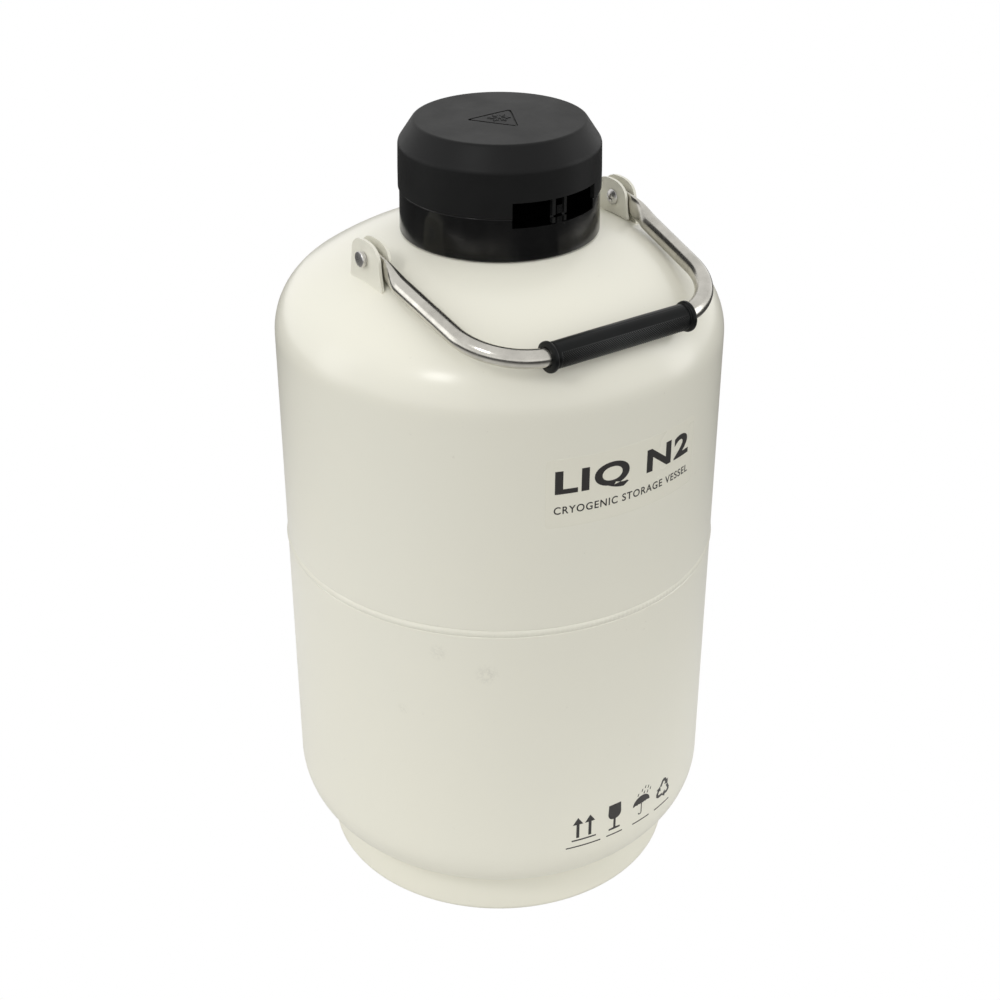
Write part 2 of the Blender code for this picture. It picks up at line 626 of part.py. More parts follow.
def bracket(name, sign, middle):
    """Clevis of two painted ears and a short web, standing on the shoulder."""
    in_z = crown_z(EAR_IN) + SEAT_LIFT
    out_z = crown_z(EAR_OUT) + SEAT_LIFT
    slope = (out_z - in_z) / (EAR_OUT - EAR_IN)
    web_in, web_out = EAR_IN + EAR_T, EAR_OUT - EAR_T
    section = [(EAR_IN, in_z), (EAR_OUT, out_z), (EAR_OUT, EAR_BLANK_TOP_Z),
               (web_out, EAR_BLANK_TOP_Z), (web_out, in_z + slope * (web_out - EAR_IN) + WEB_T),
               (web_in, in_z + slope * EAR_T + WEB_T), (web_in, EAR_BLANK_TOP_Z),
               (EAR_IN, EAR_BLANK_TOP_Z)]
    half_length = EAR_FOOT_HALF + 3.0
    clevis = prism(name, [(sign * x, z) for x, z in section], -half_length, half_length,
                   PAINT, "XZ")
    low, high = sorted((sign * 85, sign * 115))
    boolean(clevis, prism(name + "_outline", ear_outline(middle), low, high, plane="YZ"),
            "INTERSECT")
    # shorten the web at both ends
    low, high = sorted((sign * web_in, sign * web_out))
    for end, near_y, far_y in (("front", -30.0, -10.0), ("back", 10.0, 30.0)):
        cut(clevis, box(f"{name}_relief_{end}", (low, near_y, 450.0), (high, far_y, 481.0)))
    cut(clevis, turned(name + "_hole", rectangle(0, PIN_HOLE_R, -20, 20), SMALL_STEPS,
                       at=(sign * PIVOT_X, 0.0, PIVOT_Z), axis="X"))


def brackets():
    pieces = (("post", PIVOT_POST), ("screw", PIVOT_SCREW), ("washer", PIVOT_WASHER))
    for side, sign in SIDES:
        bracket(f"bracket_{side}", sign, EAR_SHIFT[side])
        for piece, profile in pieces:
            turned(f"pivot_{piece}_{side}", [(r, sign * x) for r, x in profile],
                   SMALL_STEPS, STEEL, (0.0, 0.0, PIVOT_Z), "X")


# --------------------------------------------------------------- carrying bail
# Modelled in its own plane: x across, v away from the pivot axis, w square to both.
BAIL_R = 6.0                   # tube radius
BAIL_L = 141.1                 # pivot axis to crossbar axis
BAIL_LEFT = (-100.65, -98.7, 44.0)   # arm's x at the pivot, at the crossbar, and bend radius
BAIL_RIGHT = (101.4, 81.8, 55.0)
BAIL_REST_DEG = 10.79          # arms' slope below level, lying on the shoulder
FLAT_END = 19.0                # along the arm: flattened up to here
ROUND_START = 40.0             # and round from here
FLAT_A = 2.2                   # half thickness and half height of the flattened ends
FLAT_B = 7.6
FLAT_STATIONS = (-FLAT_B, -7.0, -5.4, -3.0, 0.0, 8.0, FLAT_END)   # v
TIP_SQUARE = 1.2               # least squared half height, keeps the tip from closing
BLEND_STEPS = 5
BEND_STEPS = 6
BAIL_AROUND = 12

GRIP_HALF = 53.5
GRIP_X = -8.5
GRIP_R = 8.55
GRIP_FLANGE_R = 9.9
GRIP_BORE_R = 7.15
GRIP_MOUTH_R = 8.1
# (radius, distance in from the end), from the bore over the flange to the barrel
GRIP_END = ((GRIP_BORE_R, 3.2), (GRIP_MOUTH_R, 2.2), (GRIP_MOUTH_R, 0.0),
            (GRIP_FLANGE_R - 0.4, 0.0), (GRIP_FLANGE_R, 0.5), (GRIP_FLANGE_R, 2.6),
            (GRIP_R - 0.5, 3.0), (GRIP_R - 0.5, 4.6), (GRIP_R, 5.0))


def bail_arm(sign, base, corner, lean):
    """Stations from the rounded tip, past the pin, to where the tube is round."""
    pivot_x = sign * PIVOT_X
    rows = []
    for v in FLAT_STATIONS:
        half_h = math.sqrt(max(FLAT_B ** 2 - min(v, 0.0) ** 2, TIP_SQUARE))
        rows.append((pivot_x, v, 0.0, FLAT_A, half_h))
    for i in range(1, BLEND_STEPS + 1):
        v = FLAT_END + (ROUND_START - FLAT_END) * i / BLEND_STEPS
        blend = smoothstep(i / BLEND_STEPS)
        x = base + (corner - base) * v / BAIL_L
        rows.append((pivot_x + (x - pivot_x) * blend, v, lean * blend,
                     FLAT_A + (BAIL_R - FLAT_A) * blend, FLAT_B + (BAIL_R - FLAT_B) * blend))
    return rows


def bail_bend(corner, radius, first, last):
    """Fillet of the arm's line and the crossbar's, between two tangent angles."""
    reach = radius * math.tan((last - first) / 2)
    centre_x = corner - reach * math.sin(first) + radius * math.cos(first)
    centre_v = BAIL_L - reach * math.cos(first) - radius * math.sin(first)
    angles = [first + (last - first) * i / BEND_STEPS for i in range(BEND_STEPS + 1)]
    return [(centre_x - radius * math.cos(angle), centre_v + radius * math.sin(angle),
             angle, BAIL_R, BAIL_R) for angle in angles]


def bail_stations():
    """(x, v, tangent angle, half thickness, half height) along the tube, left to right."""
    base, corner, radius = BAIL_LEFT
    lean = math.atan2(corner - base, BAIL_L)
    stations = bail_arm(-1, base, corner, lean)
    stations += bail_bend(corner, radius, lean, math.pi / 2)
    base, corner, radius = BAIL_RIGHT
    lean = math.atan2(base - corner, BAIL_L)
    stations += bail_bend(corner, radius, math.pi / 2, math.pi - lean)
    stations += [(x, v, math.pi - angle, half_t, half_h)
                 for x, v, angle, half_t, half_h in reversed(bail_arm(1, base, corner, lean))]
    return stations


def bail_loop(x, v, angle, half_t, half_h):
    """Cross-section at one station; flattened sections are slab sided."""
    inward = Vector((math.cos(angle), -math.sin(angle), 0.0))
    power = 1.0 - 0.45 * (1.0 - half_t / half_h)
    loop = []
    for j in range(BAIL_AROUND):
        turn = math.tau * j / BAIL_AROUND
        across = half_t * signed_power(math.cos(turn), power)
        height = half_h * signed_power(math.sin(turn), power)
        loop.append(Vector((x, v, 0.0)) - inward * across + Vector((0, 0, height)))
    return loop


def lay_down(shape):
    """(x, v, w) to the pivot frame: v runs forwards and down, w is the plane's upward normal."""
    rest = math.radians(BAIL_REST_DEG)
    cos, sin = math.cos(rest), math.sin(rest)
    shape.transform(Matrix(((1, 0, 0, 0), (0, -cos, -sin, 0), (0, -sin, cos, 0), (0, 0, 0, 1))))


def bail_pivot():
    """Empty on the pivot axis that carries the bail and its grip."""
    pivot = bpy.data.objects.new("bail_pivot", None)
    pivot.location = (0, 0, PIVOT_Z * MM)
    bpy.context.scene.collection.objects.link(pivot)
    return pivot


def bail_tube(pivot):
    shape = loft([bail_loop(*station) for station in bail_stations()])
    lay_down(shape)
    tube = finish("bail_tube", shape, STEEL)
    tube.parent = pivot
    for side, sign in SIDES:
        hole = turned(f"bail_hole_{side}", rectangle(0, PIN_HOLE_R, -14, 14), SMALL_STEPS,
                      at=(sign * PIVOT_X, 0.0, 0.0), axis="X")
        hole.parent = pivot
        cut(tube, hole)


def grip(pivot):
    left = [(r, -GRIP_HALF + inset) for r, inset in GRIP_END]
    right = [(r, -x) for r, x in reversed(left)]
    shape = spun(left + right, SMALL_STEPS, "X")
    bmesh.ops.translate(shape, verts=shape.verts, vec=(GRIP_X, BAIL_L, 0.0))
    lay_down(shape)
    finish("grip", shape, GRIP_BLACK).parent = pivot


# -------------------------------------------------------------------- assembly
outer_shell()
girth_weld()
foot_ring()
vacuum_port()
neck()
inner_vessel()
insulation_blanket()
adsorbent()
canister_spider()
index_ring()
neck_collar()
collar_fixings()
lid_shell()
neck_plug()
brackets()
bail_frame = bail_pivot()
bail_tube(bail_frame)
grip(bail_frame)
canisters()
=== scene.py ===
"""Looks of the liquid nitrogen dewar: fine surfaces, materials, light and camera.

The frame's bodies and axes stay as they are. Lengths below are in millimetres and
are scaled by MM; +X runs through the right bracket, -Y is the front.
"""

import math

import bmesh
import bpy
from mathutils import Matrix, Vector


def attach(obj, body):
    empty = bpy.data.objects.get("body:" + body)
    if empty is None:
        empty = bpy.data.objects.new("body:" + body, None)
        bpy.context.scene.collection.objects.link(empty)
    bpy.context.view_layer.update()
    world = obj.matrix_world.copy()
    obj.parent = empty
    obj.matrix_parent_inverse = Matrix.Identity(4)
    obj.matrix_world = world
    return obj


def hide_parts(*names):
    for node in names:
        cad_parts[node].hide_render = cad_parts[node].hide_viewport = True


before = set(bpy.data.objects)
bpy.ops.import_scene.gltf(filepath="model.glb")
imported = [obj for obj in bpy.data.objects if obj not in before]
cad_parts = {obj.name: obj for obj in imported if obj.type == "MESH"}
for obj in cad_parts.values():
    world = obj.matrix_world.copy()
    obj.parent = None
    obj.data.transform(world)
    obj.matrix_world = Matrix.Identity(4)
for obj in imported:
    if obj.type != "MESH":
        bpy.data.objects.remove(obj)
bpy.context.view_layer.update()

MM = 0.001

# ------------------------------------------------------------ shape of the part
BODY_R, BODY_WALL = 151.5, 2.5
UPPER_TANGENT_Z, UPPER_KNUCKLE_R, CROWN_R = 413.1, 44.4, 234.0
LOWER_TANGENT_Z, LOWER_KNUCKLE_R = 71.5, 45.8
GIRTH_Z, WELD_HALF, WELD_PROUD = 259.7, 3.2, 1.0
NECK_HOLE_R = 33.0
FOOT_R, FOOT_TOP_R, FOOT_TOP_Z, FOOT_LIP_R, FOOT_WALL = 128.6, 122.9, 27.7, 112.0, 2.5
NECK_ID, NECK_WALL, NECK_TOP_Z, NECK_BOTTOM_Z = 50.0, 2.0, 492.7, 300.5
INNER_R, INNER_WALL, INNER_KNUCKLE_R = 123.0, 1.5, 40.0
INNER_BOTTOM_Z, INNER_TOP_Z, INNER_GIRTH_Z = 56.0, 308.0, 182.0
COLLAR_BOTTOM_R, COLLAR_TOP_R, COLLAR_TOP_Z = 65.9, 65.4, 510.6
SPIGOT_R, SPIGOT_TOP_Z = 62.5, 516.6
LID_R, LID_BOTTOM_Z, LID_TOP_Z, LID_WALL = 66.3, 510.9, 555.5, 2.8
LOCK_MID_DEG, LOCK_HALF_ANGLE, LOCK_TOP_Z, LOCK_FLOOR_Z, SEAL_HOLE_R = -88.6, 29.2, 521.0, 504.3, 1.3
PLUG_R, PLUG_BOTTOM_Z, MARK_SIDE = 18.0, 395.0, 33.0
PIVOT_Z, PIVOT_X = 482.5, 99.05
EAR_IN, EAR_OUT, EAR_T, EAR_HALF, EAR_RISE, EAR_FOOT_HALF = 94.2, 103.9, 2.0, 16.5, 12.3, 19.5
EAR_SHIFT = {"left": -1.5, "right": 2.5}
PIN_R, PIN_HOLE_R = 3.0, 3.3
BAIL_R, BAIL_L, BAIL_REST_DEG = 6.0, 141.1, 10.79
BAIL_LEFT, BAIL_RIGHT = (-100.65, -98.7, 44.0), (101.4, 81.8, 55.0)   # axis at the pivot, at the crossbar, bend radius
FLAT_END, ROUND_START, FLAT_A, FLAT_B = 19.0, 40.0, 2.2, 7.6
GRIP_HALF, GRIP_X, GRIP_R, GRIP_FLANGE_R = 54.2, -7.8, 8.55, 9.9
CAN_R, CAN_WALL, CAN_H, CAN_PITCH_R, CAN_BOTTOM_Z = 19.0, 1.0, 120.0, 41.0, 62.5
ROD_R, ROD_PITCH_R, HOOK_Z, HOOK_R = 1.5, 20.2, 498.8, 38.5
PORT_Y = 60.0


# ---------------------------------------------------------------- node building
class Tree:
    """A material's nodes, with short calls to add and join them."""

    def __init__(self, name):
        self.mat = bpy.data.materials.new(name)
        self.mat.use_nodes = True
        self.nt = self.mat.node_tree
        self.bsdf = self.nt.nodes["Principled BSDF"]
        self.coord = self.add("ShaderNodeTexCoord").outputs["Object"]

    def add(self, kind, **settings):
        node = self.nt.nodes.new(kind)
        for key, value in settings.items():
            setattr(node, key, value)
        return node

    def link(self, a, b):
        self.nt.links.new(a, b)

    def put(self, socket, value):
        if hasattr(value, "is_output"):
            self.link(value, socket)
        else:
            socket.default_value = value

    def math(self, op, a, b=0.0, c=None, clamp=False):
        n = self.add("ShaderNodeMath", operation=op, use_clamp=clamp)
        self.put(n.inputs[0], a)
        self.put(n.inputs[1], b)
        if c is not None:
            self.put(n.inputs[2], c)
        return n.outputs[0]

    def vmath(self, op, a, b=None):
        n = self.add("ShaderNodeVectorMath", operation=op)
        self.put(n.inputs[0], a)
        if b is not None:
            self.put(n.inputs[1], b)
        return n.outputs["Value"] if op in ("DISTANCE", "LENGTH", "DOT_PRODUCT") else n.outputs["Vector"]

    def split(self, vector):
        n = self.add("ShaderNodeSeparateXYZ")
        self.put(n.inputs[0], vector)
        return n.outputs

    def join(self, x, y, z):
        n = self.add("ShaderNodeCombineXYZ")
        for i, v in enumerate((x, y, z)):
            self.put(n.inputs[i], v)
        return n.outputs[0]

    def noise(self, size_mm, detail=2.0, rough=0.5, vector=None, distortion=0.0, stretch=None):
        n = self.add("ShaderNodeTexNoise")
        source = self.coord if vector is None else vector
        if stretch:
            source = self.vmath("MULTIPLY", source, stretch)
        self.put(n.inputs["Vector"], source)
        n.inputs["Scale"].default_value = 1000.0 / size_mm
        n.inputs["Detail"].default_value = detail
        n.inputs["Roughness"].default_value = rough
        n.inputs["Distortion"].default_value = distortion
        return n.outputs["Fac"]

    def voronoi(self, size_mm, feature="F1", vector=None):
        n = self.add("ShaderNodeTexVoronoi", feature=feature)
        self.put(n.inputs["Vector"], self.coord if vector is None else vector)
        n.inputs["Scale"].default_value = 1000.0 / size_mm
        return n.outputs["Distance"]

    def span(self, value, low, high, to_low=0.0, to_high=1.0):
        n = self.add("ShaderNodeMapRange")
        self.put(n.inputs["Value"], value)
        for key, v in (("From Min", low), ("From Max", high), ("To Min", to_low), ("To Max", to_high)):
            self.put(n.inputs[key], v)
        return n.outputs["Result"]

    def blend(self, fac, a, b):
        n = self.add("ShaderNodeMix", data_type="RGBA")
        self.put(n.inputs["Factor"], fac)
        for socket, v in ((n.inputs[6], a), (n.inputs[7], b)):
            self.put(socket, v if hasattr(v, "is_output") else (*v, 1.0))
        return n.outputs[2]

    def bump(self, height, strength, distance_mm, after=None):
        n = self.add("ShaderNodeBump")
        n.inputs["Strength"].default_value = strength
        n.inputs["Distance"].default_value = distance_mm * MM
        self.link(height, n.inputs["Height"])
        if after is not None:
            self.link(after, n.inputs["Normal"])
        return n.outputs["Normal"]

    def set(self, **values):
        names = {"colour": "Base Color", "rough": "Roughness", "metal": "Metallic", "normal": "Normal",
                 "spec": "Specular IOR Level", "coat": "Coat Weight", "coat_rough": "Coat Roughness",
                 "aniso": "Anisotropic", "sheen": "Sheen Weight", "subsurface": "Subsurface Weight"}
        for key, v in values.items():
            if key == "colour" and not hasattr(v, "is_output"):
                v = (*v, 1.0)
            self.put(self.bsdf.inputs[names[key]], v)
        return self.mat


def around(deg, z):
    a = math.radians(deg)
    return (BODY_R * math.cos(a) * MM, BODY_R * math.sin(a) * MM, z * MM)


def paint(name, smudges=()):
    """Cream powder coat: faint cloudiness, orange peel, a few handling marks."""
    t = Tree(name)
    cloud = t.noise(95.0, 3.0, 0.55)
    colour = t.blend(t.span(cloud, 0.3, 0.7), (0.828, 0.812, 0.706), (0.818, 0.806, 0.706))
    fleck = t.span(t.noise(3.1, 1.0, 0.5), 0.77, 0.83)
    colour = t.blend(t.math("MULTIPLY", fleck, 0.16), colour, (0.50, 0.47, 0.40))
    for place, size, depth in smudges:
        near = t.span(t.vmath("DISTANCE", t.coord, place), size * MM, size * 0.25 * MM)
        near = t.math("MULTIPLY", near, t.span(t.noise(2.4, 3.0, 0.6), 0.4, 0.66))
        colour = t.blend(t.math("MULTIPLY", near, depth, clamp=True), colour, (0.42, 0.41, 0.36))
    handled = t.span(t.noise(38.0, 4.0, 0.6), 0.35, 0.75)
    rough = t.math("ADD", t.span(handled, 0.0, 1.0, 0.28, 0.31), t.math("MULTIPLY", fleck, 0.1))
    normal = t.bump(t.noise(2.6, 2.0, 0.45), 0.10, 0.055)
    normal = t.bump(t.noise(26.0, 1.0, 0.4), 0.16, 0.30, normal)
    return t.set(colour=colour, rough=rough, normal=normal, spec=0.42, coat=0.25, coat_rough=0.16)


def gloss_black():
    """Polished moulding with faint sink, dust and wiping marks."""
    t = Tree("gloss_black_moulding")
    dust = t.span(t.noise(1.7, 2.0, 0.6), 0.70, 0.80)
    colour = t.blend(t.math("MULTIPLY", dust, 0.35), (0.0045, 0.0046, 0.0048), (0.05, 0.05, 0.048))
    wiped = t.noise(16.0, 4.0, 0.62, stretch=(1.0, 1.0, 0.35))
    rough = t.math("ADD", t.span(wiped, 0.35, 0.7, 0.13, 0.24), t.math("MULTIPLY", dust, 0.15))
    normal = t.bump(t.noise(21.0, 2.0, 0.5), 0.22, 0.30)
    normal = t.bump(t.noise(3.0, 2.0, 0.5), 0.05, 0.05, normal)
    x, y, z = t.split(t.coord)      # painted shade: inside the locking pocket the moulding is coloured near black, made rough and given no specular
    outside = t.span(t.vmath("LENGTH", t.join(x, y, 0.0)), 0.0645, 0.0650)
    outside = t.math("MAXIMUM", outside, t.math("MAXIMUM", t.span(y, -0.022, -0.018), t.span(z, 0.5018, 0.5012)))
    outside = t.math("MAXIMUM", outside, t.span(t.vmath("LENGTH", t.join(x, y, 0.0)), 0.0512, 0.0506))
    colour = t.blend(outside, (0.0006, 0.0006, 0.0006), colour)
    rough = t.math("MAXIMUM", rough, t.math("SUBTRACT", 0.7, outside))
    return t.set(colour=colour, rough=rough, normal=normal, spec=t.math("MULTIPLY", outside, 0.42))


def matte_black(name="matte_black_moulding", base=(0.0042, 0.0044, 0.0046), worn=True):
    """Spark-textured moulding, a little greyer where hands rub it."""
    t = Tree(name)
    grain = t.noise(0.9, 2.0, 0.6)
    cloud = t.span(t.noise(30.0, 4.0, 0.6), 0.35, 0.75)
    lighter = tuple(1.55 * c for c in base)
    colour = t.blend(t.math("MULTIPLY", cloud, 0.5), base, lighter)
    if worn:
        scuff = t.span(t.noise(9.0, 5.0, 0.7, stretch=(1.0, 0.35, 1.0)), 0.70, 0.82)
        colour = t.blend(t.math("MULTIPLY", scuff, 0.25), colour, (0.028, 0.029, 0.029))
    rough = t.span(cloud, 0.0, 1.0, 0.46, 0.54)
    normal = t.bump(grain, 0.22, 0.05)
    normal = t.bump(t.voronoi(0.7), 0.10, 0.04, normal)
    return t.set(colour=colour, rough=rough, normal=normal, spec=0.20)


def grip_rubber():
    """Firm black vinyl with a light bloom."""
    t = Tree("grip_vinyl")
    bloom = t.span(t.noise(22.0, 4.0, 0.6), 0.35, 0.7)
    colour = t.blend(bloom, (0.0026, 0.0032, 0.0033), (0.0046, 0.0054, 0.0055))
    b = math.radians(BAIL_REST_DEG)     # place across the grip: out from its axis, and up from the bail's plane
    x, y, z = t.split(t.coord)
    y = t.math("ADD", y, BAIL_L * math.cos(b) * MM)
    z = t.math("SUBTRACT", z, (PIVOT_Z - BAIL_L * math.sin(b)) * MM)
    above = t.math("SUBTRACT", t.math("MULTIPLY", z, math.cos(b)), t.math("MULTIPLY", y, math.sin(b)))
    reach = t.vmath("LENGTH", t.join(0.0, y, z))
    checkered = t.span(above, 0.0054, 0.0061, 1.0, 0.0)
    inward = t.math("ABSOLUTE", t.math("SUBTRACT", x, GRIP_X * MM))
    checkered = t.math("MULTIPLY", checkered, t.span(inward, (GRIP_HALF - 6.3) * MM, (GRIP_HALF - 5.9) * MM, 1.0, 0.0))
    # painted light on the checkering: a grey painted highlight on the crests, and painted shade darker than the vinyl
    # in the grooves
    crest = t.span(reach, (GRIP_R - 0.16) * MM, (GRIP_R + 0.10) * MM)
    crest_highlight_groove_shade = t.blend(crest, (0.0010, 0.0011, 0.0011), (0.135, 0.142, 0.142))
    colour = t.blend(checkered, colour, crest_highlight_groove_shade)
    rough = t.span(bloom, 0.0, 1.0, 0.30, 0.40)
    normal = t.bump(t.noise(1.1, 2.0, 0.5), 0.10, 0.05)
    normal = t.bump(t.noise(11.0, 1.0, 0.5), 0.20, 0.20, normal)
    return t.set(colour=colour, rough=rough, normal=normal, spec=0.17)


def steel(name, colour_a=(0.66, 0.63, 0.60), colour_b=(0.58, 0.55, 0.52), rough_low=0.10, rough_high=0.19,
          along=(0.05, 1.0, 1.0)):
    """Polished stainless, with fine drawing lines along the piece and faint handling haze."""
    t = Tree(name)
    line = t.noise(0.55, 2.0, 0.6, stretch=along)
    haze = t.span(t.noise(14.0, 3.0, 0.6), 0.35, 0.7)
    colour = t.blend(haze, colour_a, colour_b)
    rough = t.math("ADD", t.span(haze, 0.0, 1.0, rough_low, rough_high),
                   t.span(line, 0.3, 0.7, -0.02, 0.03))
    normal = t.bump(line, 0.07, 0.02)
    return t.set(colour=colour, rough=rough, metal=1.0, normal=normal)


def turned_aluminium():
    """Bare spun aluminium: fine circular tool marks about the vertical axis, dull haze."""
    t = Tree("spun_aluminium")
    x, y, z = t.split(t.coord)
    radius = t.math("SQRT", t.math("ADD", t.math("MULTIPLY", x, x), t.math("MULTIPLY", y, y)))
    marks = t.noise(0.8, 2.0, 0.6, vector=t.join(radius, t.math("MULTIPLY", radius, 0.5), z))
    haze = t.span(t.noise(24.0, 4.0, 0.6), 0.35, 0.7)
    colour = t.blend(haze, (0.80, 0.80, 0.81), (0.66, 0.66, 0.67))
    rough = t.math("ADD", t.span(haze, 0.0, 1.0, 0.26, 0.40), t.span(marks, 0.3, 0.7, -0.03, 0.05))
    return t.set(colour=colour, rough=rough, metal=1.0, normal=t.bump(marks, 0.20, 0.04))


def wound_fibreglass():
    """Glass rovings wound both ways round the neck, in amber epoxy."""
    t = Tree("wound_fibreglass")
    x, y, z = t.split(t.coord)
    turn = t.math("MULTIPLY", t.math("ARCTAN2", y, x), 0.027)
    one = t.math("SINE", t.math("MULTIPLY", t.math("ADD", z, turn), 2600.0))
    two = t.math("SINE", t.math("MULTIPLY", t.math("SUBTRACT", z, turn), 2600.0))
    weave = t.math("MAXIMUM", one, two)
    fibre = t.noise(0.5, 3.0, 0.7)
    colour = t.blend(t.span(weave, -0.2, 1.0), (0.34, 0.33, 0.15), (0.56, 0.55, 0.34))
    colour = t.blend(t.span(fibre, 0.3, 0.7, 0.0, 0.35), colour, (0.70, 0.69, 0.52))
    return t.set(colour=colour, rough=t.span(fibre, 0.3, 0.7, 0.22, 0.42),
                 normal=t.bump(weave, 0.35, 0.12), coat=0.4, coat_rough=0.12)


def white_foam():
    """Moulded bead foam: soft cells with darker seams."""
    t = Tree("bead_foam")
    cell = t.voronoi(3.2)
    seam = t.voronoi(3.2, "DISTANCE_TO_EDGE")
    colour = t.blend(t.span(seam, 0.0, 0.12), (0.66, 0.66, 0.62), (0.86, 0.86, 0.83))
    colour = t.blend(t.span(t.noise(30.0, 3.0, 0.6), 0.4, 0.8, 0.0, 0.25), colour, (0.78, 0.76, 0.68))
    normal = t.bump(t.span(seam, 0.0, 0.15), 0.45, 0.25)
    return t.set(colour=colour, rough=t.span(cell, 0.0, 0.6, 0.72, 0.9), normal=normal, spec=0.3)


def foil_blanket():
    """Crinkled foil over spacer paper, with the wrap's spiral edge showing."""
    t = Tree("foil_and_paper")
    x, y, z = t.split(t.coord)
    turn = t.math("ARCTAN2", y, x)
    lap = t.math("FRACT", t.math("ADD", t.math("MULTIPLY", z, 40.0), t.math("MULTIPLY", turn, 0.159155)))
    crease = t.noise(9.0, 5.0, 0.65, distortion=0.8)
    colour = t.blend(t.span(lap, 0.90, 0.98), (0.80, 0.80, 0.82), (0.80, 0.76, 0.66))
    normal = t.bump(crease, 0.7, 1.0)
    normal = t.bump(t.span(lap, 0.9, 1.0), 0.5, 0.5, normal)
    return t.set(colour=colour, rough=t.span(crease, 0.3, 0.7, 0.18, 0.42), metal=t.span(lap, 0.98, 0.90, 0.1, 0.95),
                 normal=normal)


def sieve_beads():
    """Packed adsorbent beads."""
    t = Tree("sieve_beads")
    bead = t.voronoi(2.4)
    # painted shade: each bead is coloured light at its middle and dark brown towards the gaps between beads
    colour = t.blend(t.span(bead, 0.1, 0.6), (0.78, 0.68, 0.52), (0.36, 0.28, 0.18))
    colour = t.blend(t.span(t.noise(2.0, 1.0, 0.5), 0.45, 0.6, 0.0, 0.4), colour, (0.60, 0.52, 0.42))
    return t.set(colour=colour, rough=0.85, normal=t.bump(t.span(bead, 0.6, 0.0), 0.9, 1.0), spec=0.3)


def print_ink():
    """Screen-printed dark ink: slightly uneven, thinner in spots."""
    t = Tree("printed_ink")
    thin = t.span(t.noise(1.3, 3.0, 0.6), 0.60, 0.78)
    colour = t.blend(t.math("MULTIPLY", thin, 0.3), (0.034, 0.032, 0.031), (0.12, 0.115, 0.10))
    return t.set(colour=colour, rough=t.span(thin, 0.0, 1.0, 0.34, 0.5),
                 normal=t.bump(t.noise(2.0, 2.0, 0.5), 0.1, 0.03), spec=0.4)


def label_film():
    """Clear film over the paint: the paint's colour, a little glossier and greyer."""
    t = Tree("clear_label_film")
    cloud = t.noise(60.0, 3.0, 0.55)
    colour = t.blend(t.span(cloud, 0.3, 0.7), (0.830, 0.812, 0.700), (0.820, 0.804, 0.696))
    bubble = t.span(t.noise(4.0, 2.0, 0.5), 0.74, 0.80)
    normal = t.bump(t.noise(9.0, 2.0, 0.5), 0.14, 0.12)
    normal = t.bump(bubble, 0.15, 0.05, normal)
    return t.set(colour=colour, rough=t.span(cloud, 0.3, 0.7, 0.24, 0.29), normal=normal, spec=0.42, coat=0.15, coat_rough=0.18)


SMUDGES = ((around(-139.9, 242.0), 7.0, 0.22), (around(-127.6, 228.0), 9.0, 0.30), (around(-150.0, 190.0), 5.0, 0.16),
           (around(60.0, 320.0), 8.0, 0.22), (around(160.0, 120.0), 7.0, 0.25), (around(20.0, 240.0), 6.0, 0.2))
PAINT = paint("cream_powder_coat", SMUDGES)
GLOSS = gloss_black()
MATTE = matte_black()
RUBBER = grip_rubber()
BAIL_STEEL = steel("polished_tube", (0.60, 0.582, 0.535), (0.49, 0.476, 0.435), 0.18, 0.26)
PIN_STEEL = steel("turned_pin_steel", (0.70, 0.69, 0.68), (0.60, 0.59, 0.58), 0.26, 0.38, (1.0, 1.0, 1.0))
ALU = turned_aluminium()
GLASS = wound_fibreglass()
FOAM = white_foam()
BLANKET = foil_blanket()
SIEVE = sieve_beads()
INK = print_ink()
FILM = label_film()


# --------------------------------------------------------------- mesh building
def arc(cr, cz, radius, start, end, steps):
    out = []
    for i in range(steps + 1):
        a = math.radians(start + (end - start) * i / steps)
        out.append((cr + radius * math.cos(a), cz + radius * math.sin(a)))
    return out


def soften(loop, radius, steps=3, least=16.0):
    """The closed loop with each corner turned into a small arc. A third number on a point is its own radius."""
    out, n = [], len(loop)
    for i in range(n):
        p, a, b = Vector(loop[i][:2]), Vector(loop[i - 1][:2]), Vector(loop[(i + 1) % n][:2])
        rad = loop[i][2] if len(loop[i]) > 2 else radius
        da, db = a - p, b - p
        if da.length < 1e-7 or db.length < 1e-7:
            continue
        ua, ub = da.normalized(), db.normalized()
        turn = math.pi - math.acos(max(-1.0, min(1.0, ua.dot(ub))))
        if rad <= 0 or turn < math.radians(least) or (p.x < 1e-6 and steps):
            out.append((p.x, p.y))
            continue
        reach = min(rad * math.tan(turn / 2), 0.46 * min(da.length, db.length))
        rad = reach / math.tan(turn / 2)
        centre = p + (ua + ub).normalized() * (rad / math.cos(turn / 2))
        one, two = p + ua * reach - centre, p + ub * reach - centre
        sweep = one.angle_signed(two)
        for k in range(steps + 1):
            c, s = math.cos(-sweep * k / steps), math.sin(-sweep * k / steps)
            out.append((centre.x + one.x * c - one.y * s, centre.y + one.x * s + one.y * c))
    return out


def spin(loop, steps, angle0=0.0):
    """bmesh of the closed (r, z) loop turned about Z."""
    bm = bmesh.new()
    rings = []
    for k in range(steps):
        a = angle0 + math.tau * k / steps
        c, s = math.cos(a), math.sin(a)
        rings.append([None if r < 1e-6 else bm.verts.new((r * c, r * s, z)) for r, z in loop])
    axis = {}
    for j, (r, z) in enumerate(loop):
        if r < 1e-6:
            axis[j] = bm.verts.new((0, 0, z))
    n = len(loop)
    for k in range(steps):
        here, there = rings[k], rings[(k + 1) % steps]
        for j in range(n):
            i = (j + 1) % n
            if j in axis and i in axis:
                continue
            if j in axis:
                bm.faces.new((axis[j], here[i], there[i]))
            elif i in axis:
                bm.faces.new((here[j], axis[i], there[j]))
            else:
                bm.faces.new((here[j], here[i], there[i], there[j]))
    return bm


